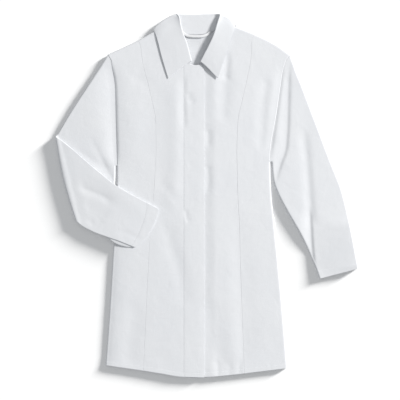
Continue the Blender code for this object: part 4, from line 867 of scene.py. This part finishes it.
def clothPiece(name, points, normals, flat, surface, thick, closed=False, crisp=False):
    # a grid of quads, given a wall, whose points go to their places on the lying cloth
    if closed:
        points = np.concatenate([points, points[:1]])
        normals = np.concatenate([normals, normals[:1]])
        thick = np.concatenate([thick, thick[:1]])
    columns, rows = points.shape[0] - 1, points.shape[1] - 1
    sheet = bmesh.new()
    bmesh.ops.create_grid(sheet, x_segments=columns, y_segments=rows, size=1, calc_uvs=False)
    bmesh.ops.solidify(sheet, geom=sheet.faces[:], thickness=0.5)
    sheet.verts.ensure_lookup_table()
    spots = np.array([vertex.co[:] for vertex in sheet.verts])
    column = np.rint((spots[:, 0] + 1) / 2 * columns).astype(int)
    row = np.rint((spots[:, 1] + 1) / 2 * rows).astype(int)
    side = np.where(spots[:, 2] > -0.25, 0.5, -0.5)
    placed = points[column, row] + normals[column, row] * (side * thick[column, row])[:, None]
    placed *= 0.001
    layer = sheet.loops.layers.uv.new("cloth")
    flatAt = flat[column, row] * 0.001
    if closed:
        ends = [
            face
            for face in sheet.faces
            if all(column[v.index] == 0 for v in face.verts) or all(column[v.index] == columns for v in face.verts)
        ]
    for face in sheet.faces:
        for loop in face.loops:
            loop[layer].uv = flatAt[loop.vert.index]
    for vertex, place in zip(sheet.verts, placed):
        vertex.co = place
    if crisp:  # the free edge isn't shaded as if it were round
        for edge in sheet.edges:
            one, two = (vertex.index for vertex in edge.verts)
            if row[one] == rows and row[two] == rows and side[one] == side[two]:
                edge.smooth = False
    if closed:
        bmesh.ops.delete(sheet, geom=ends, context="FACES")
        bmesh.ops.remove_doubles(sheet, verts=sheet.verts[:], dist=1e-5)
    return finishMesh(name, sheet, surface)


def flatGrid(along, across):  # where each point lies on the cloth before it is sewn
    return np.stack(np.broadcast_arrays(along, across), axis=-1)


def finishMesh(name, mesh, surface):
    bmesh.ops.recalc_face_normals(mesh, faces=mesh.faces[:])
    if mesh.calc_volume(signed=True) < 0:
        bmesh.ops.reverse_faces(mesh, faces=mesh.faces[:])
    data = bpy.data.meshes.new(name)
    mesh.to_mesh(data)
    mesh.free()
    data.materials.append(surface)
    data.shade_smooth()
    piece = bpy.data.objects.new(name, data)
    bpy.context.scene.collection.objects.link(piece)
    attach(piece, "root")
    return piece


thread = {
    "length": 2.5,
    "pitch": 3.2,
    "radius": 0.3,
    "lift": 0.05,
    "sink": 0.16,  # how deep a row of stitches draws the cloth in
    "lapSink": 0.2,
    "sinkWidth": 1.0,
    "hemEdge": 0.9,  # the hem's step in thickness runs out over this
    "light": (0.83, 0.835, 0.85),
    "deep": (0.78, 0.79, 0.81),
    "ribs": 2400.0,
}


def stitchShape():
    shape = bmesh.new()
    bmesh.ops.create_uvsphere(shape, u_segments=6, v_segments=4, radius=1)
    size = (thread["length"] / 2000, thread["radius"] / 1000, thread["radius"] / 1000)
    bmesh.ops.scale(shape, verts=shape.verts[:], vec=size)
    data = bpy.data.meshes.new("stitch")
    shape.to_mesh(data)
    shape.free()
    return data


oneStitch = stitchShape()


def stitchLine(mesh, path, normals, lift):  # a row of short stitches on the cloth
    run = lengths(path)
    count = int(run[-1] / thread["pitch"])
    at = (np.arange(count) + 0.5) * thread["pitch"]
    place = np.column_stack([np.interp(at, run, path[:, i]) for i in range(3)])
    ahead = np.column_stack([np.interp(at + 0.5, run, path[:, i]) for i in range(3)])
    facing = np.column_stack([np.interp(at, run, normals[:, i]) for i in range(3)])
    for point, further, up in zip(place, ahead, facing):
        forward = Vector(further - point).normalized()
        up = Vector(up).normalized()
        side = up.cross(forward).normalized()
        up = forward.cross(side)
        turn = Matrix((forward, side, up)).transposed().to_4x4()
        put = Matrix.Translation((Vector(point) + up * lift) * 0.001) @ turn
        oneStitch.transform(put)
        mesh.from_mesh(oneStitch, face_normals=False, vertex_normals=False)
        oneStitch.transform(put.inverted())


def newGroup(name, inputs, outputs):
    group = bpy.data.node_groups.new(name, "ShaderNodeTree")
    for label, kind, value in inputs:
        socket = group.interface.new_socket(label, in_out="INPUT", socket_type=kind)
        if value is not None:
            socket.default_value = value
    for label, kind in outputs:
        group.interface.new_socket(label, in_out="OUTPUT", socket_type=kind)
    return group, group.nodes.new("NodeGroupInput"), group.nodes.new("NodeGroupOutput")


def plug(tree, node, inputs):  # sets or links a node's inputs
    for name, value in inputs.items():
        if isinstance(value, bpy.types.NodeSocket):
            tree.links.new(value, node.inputs[name])
        else:
            node.inputs[name].default_value = value
    return node.outputs


def addNode(tree, kind, inputs, **settings):  # gives the new node's outputs
    node = tree.nodes.new("ShaderNode" + kind)
    for name, value in settings.items():
        setattr(node, name, value)
    return plug(tree, node, inputs)


def mathNode(tree, operation, *values):
    return addNode(tree, "Math", dict(enumerate(values)), operation=operation)[0]


cotton = {
    "light": (0.80, 0.81, 0.83),
    "deep": (0.755, 0.77, 0.80),
    "roughness": 0.86,
    "sheen": 0.12,
    "sheenRoughness": 0.5,
    "specular": 0.25,
    "ribs": 880.0,  # to a metre
    "ribsMore": 6,  # added from piece to piece
    "ribDepth": 0.35,  # of the weave's height
    "crossDepth": 0.12,
    "slub": {"Scale": 260.0, "Detail": 2.0},
    "slubTone": 0.35,
    "crease": {"Detail": 3.0, "Roughness": 0.45, "Distortion": 0.6},
    "tint": {"Scale": 9.0, "Detail": 2.0},
    "creaseBump": {"Strength": 0.5, "Distance": 0.0011},
    "weaveBump": {"Strength": 0.6, "Distance": 0.00006},
}


def twillGroup():  # diagonal ribs with uneven threads
    group, start, end = newGroup(
        "twillWeave",
        [("Vector", "NodeSocketVector", None), ("Ribs per metre", "NodeSocketFloat", 900.0)],
        [("Height", "NodeSocketFloat"), ("Tone", "NodeSocketFloat")],
    )
    place, ribs = start.outputs["Vector"], start.outputs["Ribs per metre"]
    split = addNode(group, "SeparateXYZ", {0: place})

    def wave(run, turns, depth):
        phase = mathNode(group, "MULTIPLY", mathNode(group, "MULTIPLY", run, ribs), turns * math.pi)
        return mathNode(group, "MULTIPLY", mathNode(group, "SINE", phase), depth)

    rib = wave(mathNode(group, "ADD", split[0], split[1]), 2, cotton["ribDepth"])
    cross = wave(split[1], 4, cotton["crossDepth"])
    slub = addNode(group, "TexNoise", {"Vector": place, **cotton["slub"]})["Fac"]
    height = mathNode(group, "ADD", mathNode(group, "ADD", rib, cross), slub)
    plug(group, end, {"Height": height, "Tone": slub})
    return group


def handledGroup():  # soft creasing and slight colour variation of washed and pressed cotton
    group, start, end = newGroup(
        "handledCloth",
        [("Vector", "NodeSocketVector", None), ("Size", "NodeSocketFloat", 38.0)],
        [("Height", "NodeSocketFloat"), ("Shade", "NodeSocketFloat")],
    )
    place = start.outputs["Vector"]
    wide = addNode(group, "TexNoise", {"Vector": place, "Scale": start.outputs["Size"], **cotton["crease"]})
    tint = addNode(group, "TexNoise", {"Vector": place, **cotton["tint"]})
    plug(group, end, {"Height": wide["Fac"], "Shade": tint["Fac"]})
    return group


twill = twillGroup()
handled = handledGroup()


def newMaterial(name):
    made = bpy.data.materials.new(name)
    made.use_nodes = True
    return made, made.node_tree, made.node_tree.nodes["Principled BSDF"]


def mixColours(tree, factor, one, other):
    inputs = {"Factor": factor, "A": (*one, 1), "B": (*other, 1)}
    return addNode(tree, "Mix", inputs, data_type="RGBA")["Result"]


def cottonMaterial(name, light, deep, ribs, weaveAt="UV"):
    made, tree, shader = newMaterial(name)
    where = addNode(tree, "TexCoord", {})
    weave = addNode(tree, "Group", {"Vector": where[weaveAt], "Ribs per metre": ribs}, node_tree=twill)
    soft = addNode(tree, "Group", {"Vector": where["Object"]}, node_tree=handled)
    tone = mathNode(tree, "ADD", soft["Shade"], mathNode(tree, "MULTIPLY", weave["Tone"], cotton["slubTone"]))
    creased = addNode(tree, "Bump", {"Height": soft["Height"], **cotton["creaseBump"]})["Normal"]
    woven = addNode(tree, "Bump", {"Height": weave["Height"], "Normal": creased, **cotton["weaveBump"]})["Normal"]
    look = {
        "Base Color": mixColours(tree, tone, deep, light),
        "Roughness": cotton["roughness"],
        "Sheen Weight": cotton["sheen"],
        "Sheen Roughness": cotton["sheenRoughness"],
        "Specular IOR Level": cotton["specular"],
        "Normal": woven,
    }
    plug(tree, shader, look)
    return made


shell = {
    "deep": (0.83, 0.82, 0.78),
    "light": (0.90, 0.89, 0.87),
    "swirl": {"Scale": 140.0, "Distortion": 2.0},
    "roughness": 0.32,
    "count": 5,
}


def buttonMaterial():
    made, tree, shader = newMaterial("buttonShell")
    where = addNode(tree, "TexCoord", {})["Object"]
    swirl = addNode(tree, "TexNoise", {"Vector": where, **shell["swirl"]})["Fac"]
    look = {"Base Color": mixColours(tree, swirl, shell["deep"], shell["light"]), "Roughness": shell["roughness"]}
    plug(tree, shader, look)
    return made


def turnedIn(stitch, distance):  # 1 within the hem, 0 past its stitches
    return ease((stitch + thread["hemEdge"] - distance) / thread["hemEdge"])


def sunk(distance):  # the cloth sinks in a little under its stitches
    return np.exp(-((distance / thread["sinkWidth"]) ** 2))


print("cutting the body")
levels = frontLevels()
right, left = halves["right"], halves["left"]
stitchX, edgeX = coat["placketStitch"], coat["lapEdge"]
fromStitch, fromEdge, count = bodyGrid["lapMiddle"]
lapColumns = np.concatenate(
    [
        stitchX + np.array(bodyGrid["lapStitchColumns"]),
        np.linspace(stitchX + fromStitch, edgeX - fromEdge, count),
        edgeX - np.array(bodyGrid["lapEdgeColumns"]),
    ]
)
underlapStart, count = bodyGrid["underlapColumns"]
underColumns = np.linspace(underlapStart, -edgeX, count)
before = bodyGrid["frontColumns"]
lowRows, topRows = bodyGrid["backRows"]
backLevels = np.concatenate([np.linspace(0, underarm, lowRows)[:-1], np.linspace(underarm, 1, topRows)])
panels = {
    "side_front_right": sideFront(right, levels),
    "side_front_left": sideFront(left, levels),
    "centre_front_right": centreFront(right, levels, lapHeight, lapColumns, before["right"]),
    "centre_front_left": centreFront(left, levels, underlapHeight, underColumns, before["left"]),
    "back": backPanel(backLevels),
}
hemExtra = coat["hemmed"] - coat["cloth"]
fromHem = levels * bodyGrid["length"]
for name, (points, normals, flat) in panels.items():
    thick = np.full(points.shape[:2], coat["cloth"])
    if name != "back":
        thick += hemExtra * turnedIn(coat["hemStitch"], fromHem)
        sink = thread["sink"] * sunk(fromHem - coat["hemStitch"]) * np.ones(points.shape[:2])
        if name == "centre_front_right":
            pastStitch = points[..., 0] - stitchX
            band = ease((pastStitch + thread["hemEdge"]) / thread["hemEdge"])
            thick = np.maximum(thick, coat["cloth"] + hemExtra * band)
            sink = np.maximum(sink, thread["lapSink"] * sunk(pastStitch))
        up = np.where(normals[..., 2:] < 0, coat["underRipple"], 1.0)[..., 0]
        points = points + normals * (coat["ripple"] * ripples(points) * up - sink)[..., None]
    panels[name] = (points, normals, flat, thick)

print("sewing the sleeves")
first = rowAt(backLevels, underarm)
for side, backColumn in (("right", 0), ("left", -1)):
    settings, notchShare = sleeves[side], sleeves["notchShare"]
    panel, normals = panels["side_front_" + side][:2]
    behind = panels["back"][0][backColumn, first + 1 : -1][::-1]
    ring, ringNormals = armholeRing(halves[side], panel, normals, behind, levels)
    cuff = 1 - np.array(sleeves["cuffRows"]) / settings["length"]
    join = notchShare * np.linspace(0, 1, sleeves["joinRows"])[:-1] ** sleeves["joinPower"]
    shares = np.concatenate([join, np.linspace(notchShare, cuff[0], sleeves["lengthRows"])[:-1], cuff])
    points, normals = sleeveTube(halves[side], settings, ring, ringNormals, levels, shares)
    fromCuff = (1 - shares) * settings["length"]
    thick = np.full(points.shape[:2], coat["cloth"])
    thick += hemExtra * turnedIn(sleeves["cuffStitch"], fromCuff)
    resting = np.where(points[..., 2] < sleeves["lying"], 0.0, 1.0)
    lift = coat["ripple"] * ripples(points) * resting
    lift -= thread["sink"] * sunk(fromCuff - sleeves["cuffStitch"]) * ease(shares / sleeves["sinkFrom"])
    points = points + normals * lift[..., None]
    flat = flatGrid(lengths(points[:, len(shares) // 3])[:, None], shares * settings["length"])
    panels["sleeve_" + side] = (points, normals, np.concatenate([flat, flat[:1]]), thick)

print("cutting the collar")
points, normals = collarSheet()
flat = flatGrid(lengths(points[:, -1])[:, None], lengths(points[len(points) // 4]))
panels["collar"] = (points, normals, flat, np.full(points.shape[:2], collarCut["cloth"]))

cuts = {  # width, length and area of each cut, in metres
    "back": ((0.455, 0.87), 0.340),
    "side_front_right": ((0.14, 0.84), 0.0765),
    "centre_front_right": ((0.17, 0.90), 0.1135),
    "side_front_left": ((0.145, 0.86), 0.0795),
    "centre_front_left": ((0.175, 0.90), 0.116),
    "sleeve_right": ((0.41, 0.60), 0.147),
    "sleeve_left": ((0.41, 0.60), 0.125),
    "collar": ((0.51, 0.105), 0.041),
}
surfaces = {}
for count, name in enumerate(cuts):
    ribs = cotton["ribs"] + cotton["ribsMore"] * count
    surfaces[name] = cottonMaterial("cotton_" + name, cotton["light"], cotton["deep"], ribs)
made = {}
for name, (points, normals, flat, thick) in panels.items():
    isTube = name.startswith("sleeve")
    crisp = isTube or name == "collar"
    made[name] = clothPiece(name + "_cloth", points, normals, flat, surfaces[name], thick, closed=isTube, crisp=crisp)

print("sewing on the loop")
loopTape = {
    "line": [  # x, y, z along the middle of the tape
        *[(-38, 416, 4.9), (-31, 409, 5.0), (-20, 402, 6.0), (-4, 399.5, 6.6)],
        *[(14, 399.5, 6.6), (28, 403, 6.0), (40, 412, 5.0)],
    ],
    "width": 6.5,
    "thick": 0.8,
    "crown": 0.25,
    "steps": 60,
    "columns": 7,
    "light": (0.84, 0.845, 0.855),
    "deep": (0.80, 0.805, 0.82),
    "ribs": 1400.0,
}
line = through(loopTape["line"], np.linspace(0, 1, loopTape["steps"] + 1))
run = unit(np.gradient(line, axis=0))
side = unit(np.column_stack([-run[:, 1], run[:, 0], np.zeros(len(run))]))
facing = unit(np.cross(run, side))
places = np.linspace(-0.5, 0.5, loopTape["columns"]) * loopTape["width"]
crown = loopTape["crown"] * (1 - (places / (loopTape["width"] / 2)) ** 2)
points = line[:, None] + side[:, None] * places[None, :, None] + facing[:, None] * crown[None, :, None]
normals = np.repeat(facing[:, None], len(places), axis=1)
flat = flatGrid(lengths(line)[:, None], places)
tape = cottonMaterial("tape_cotton", loopTape["light"], loopTape["deep"], loopTape["ribs"])
loop = clothPiece("hanger_loop_tape", points, normals, flat, tape, np.full(points.shape[:2], loopTape["thick"]))
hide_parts("hanger_loop")

print("stitching")
threadMaterial = cottonMaterial("sewing_thread", thread["light"], thread["deep"], thread["ribs"], "Object")


def stitchOn(mesh, name, columns, rows):
    points, normals, _, thick = panels[name]
    surface = points + normals * thick[..., None] / 2
    stitchLine(mesh, surface[columns, rows], normals[columns, rows], thread["lift"])


bodyStitches = bmesh.new()
stitchRow = bodyGrid["hemRows"].index(coat["hemStitch"])
for name in ("side_front_right", "centre_front_right", "side_front_left", "centre_front_left"):
    stop = bodyGrid["sideColumns"] + 1 if name.startswith("side") else None
    stitchOn(bodyStitches, name, slice(2, stop), stitchRow)
stitchColumn = len(bodyGrid["seamColumns"]) + before["right"] - 1 + bodyGrid["lapStitchColumns"].index(0)
stitchOn(bodyStitches, "centre_front_right", stitchColumn, slice(1, int((levels < coat["lastStitch"]).sum())))
bodyThread = finishMesh("body_stitches", bodyStitches, threadMaterial)
sleeveStitches = bmesh.new()
cuffRow = sleeves["cuffRows"].index(sleeves["cuffStitch"]) - len(sleeves["cuffRows"])
for name in ("sleeve_right", "sleeve_left"):
    shown = panels[name][0][:, cuffRow, 2] > sleeves["stitchesAbove"]
    stitchOn(sleeveStitches, name, shown, cuffRow)
sleeveThread = finishMesh("cuff_stitches", sleeveStitches, threadMaterial)
collarStitches = bmesh.new()
step = collarCut["standSteps"] + collarCut["rollSteps"] + collarCut["fallSteps"].index(collarCut["stitchStep"])
points, normals, _, _ = panels["collar"]
outer = points - normals * collarCut["cloth"] / 2
stitchLine(collarStitches, outer[3:-3, step], -normals[3:-3, step], 0.0)
collarThread = finishMesh("collar_stitches", collarStitches, threadMaterial)

for name, piece in made.items():
    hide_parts(name)

print("buttons")
buttonSurface = buttonMaterial()
for count in range(1, shell["count"] + 1):
    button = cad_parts["button_%d" % count]
    button.data.materials.clear()
    button.data.materials.append(buttonSurface)

print("studio")
studio = {
    "floor": 0.97,
    "floorGlow": 0.04,
    "floorSize": 6.0,
    "floorAt": (0, 0, -0.0002),
    "floorRoughness": 0.9,
    "key": 1720.0,  # lights the coat
    "keySize": 2.2,
    "keyAt": (9.6, 4.2, 5.6),
    "low": 12.4,  # low light on the surface, for the wide shadow beside the coat
    "lowAngle": 10.0,
    "lowAt": (0.848, 0.53, 0.160),
    "sky": 0.44,
    "lampColour": (1.0, 0.99, 0.975),
    "skyColour": (0.95, 0.975, 1.0),
    "cameraAt": (0.0125, -0.00875, 3.0),
    "frame": 1.0,  # metres across the picture
    "sensor": 36.0,
}
bpy.ops.mesh.primitive_plane_add(size=studio["floorSize"], location=studio["floorAt"])
floor = bpy.context.object
floor.name = "floor"
floorMaterial, floorTree, floorShader = newMaterial("floor_white")
floorLook = {
    "Base Color": (studio["floor"],) * 3 + (1,),
    "Roughness": studio["floorRoughness"],
    "Specular IOR Level": 0.0,
    "Emission Color": (1, 1, 1, 1),
    "Emission Strength": studio["floorGlow"],
}
plug(floorTree, floorShader, floorLook)
floor.data.materials.append(floorMaterial)


def lampAt(name, kind, place, power, seen, state):
    light = bpy.data.lights.new(name, kind)
    light.energy = power
    light.color = studio["lampColour"]
    lamp = bpy.data.objects.new(name, light)
    lamp.location = place
    lamp.rotation_euler = (-Vector(place)).to_track_quat("-Z", "Y").to_euler()
    bpy.context.scene.collection.objects.link(lamp)
    reached = bpy.data.collections.new(name + "_reach")
    reached.objects.link(seen)
    reached.collection_objects[0].light_linking.link_state = state
    lamp.light_linking.receiver_collection = reached
    return light


key = lampAt("key", "AREA", studio["keyAt"], studio["key"], floor, "EXCLUDE")
key.shape = "DISK"
key.size = studio["keySize"]
low = lampAt("low", "SUN", studio["lowAt"], studio["low"], floor, "INCLUDE")
low.angle = math.radians(studio["lowAngle"])
world = bpy.data.worlds.new("studio")
world.use_nodes = True
sky = {"Color": (*studio["skyColour"], 1), "Strength": studio["sky"]}
plug(world.node_tree, world.node_tree.nodes["Background"], sky)
bpy.context.scene.world = world
bpy.context.scene.view_settings.view_transform = "Standard"

lens = bpy.data.cameras.new("camera")
lens.sensor_width = studio["sensor"]
lens.lens = studio["sensor"] * studio["cameraAt"][2] / studio["frame"]
camera = bpy.data.objects.new("camera", lens)
camera.location = studio["cameraAt"]
bpy.context.scene.collection.objects.link(camera)
bpy.context.scene.camera = camera
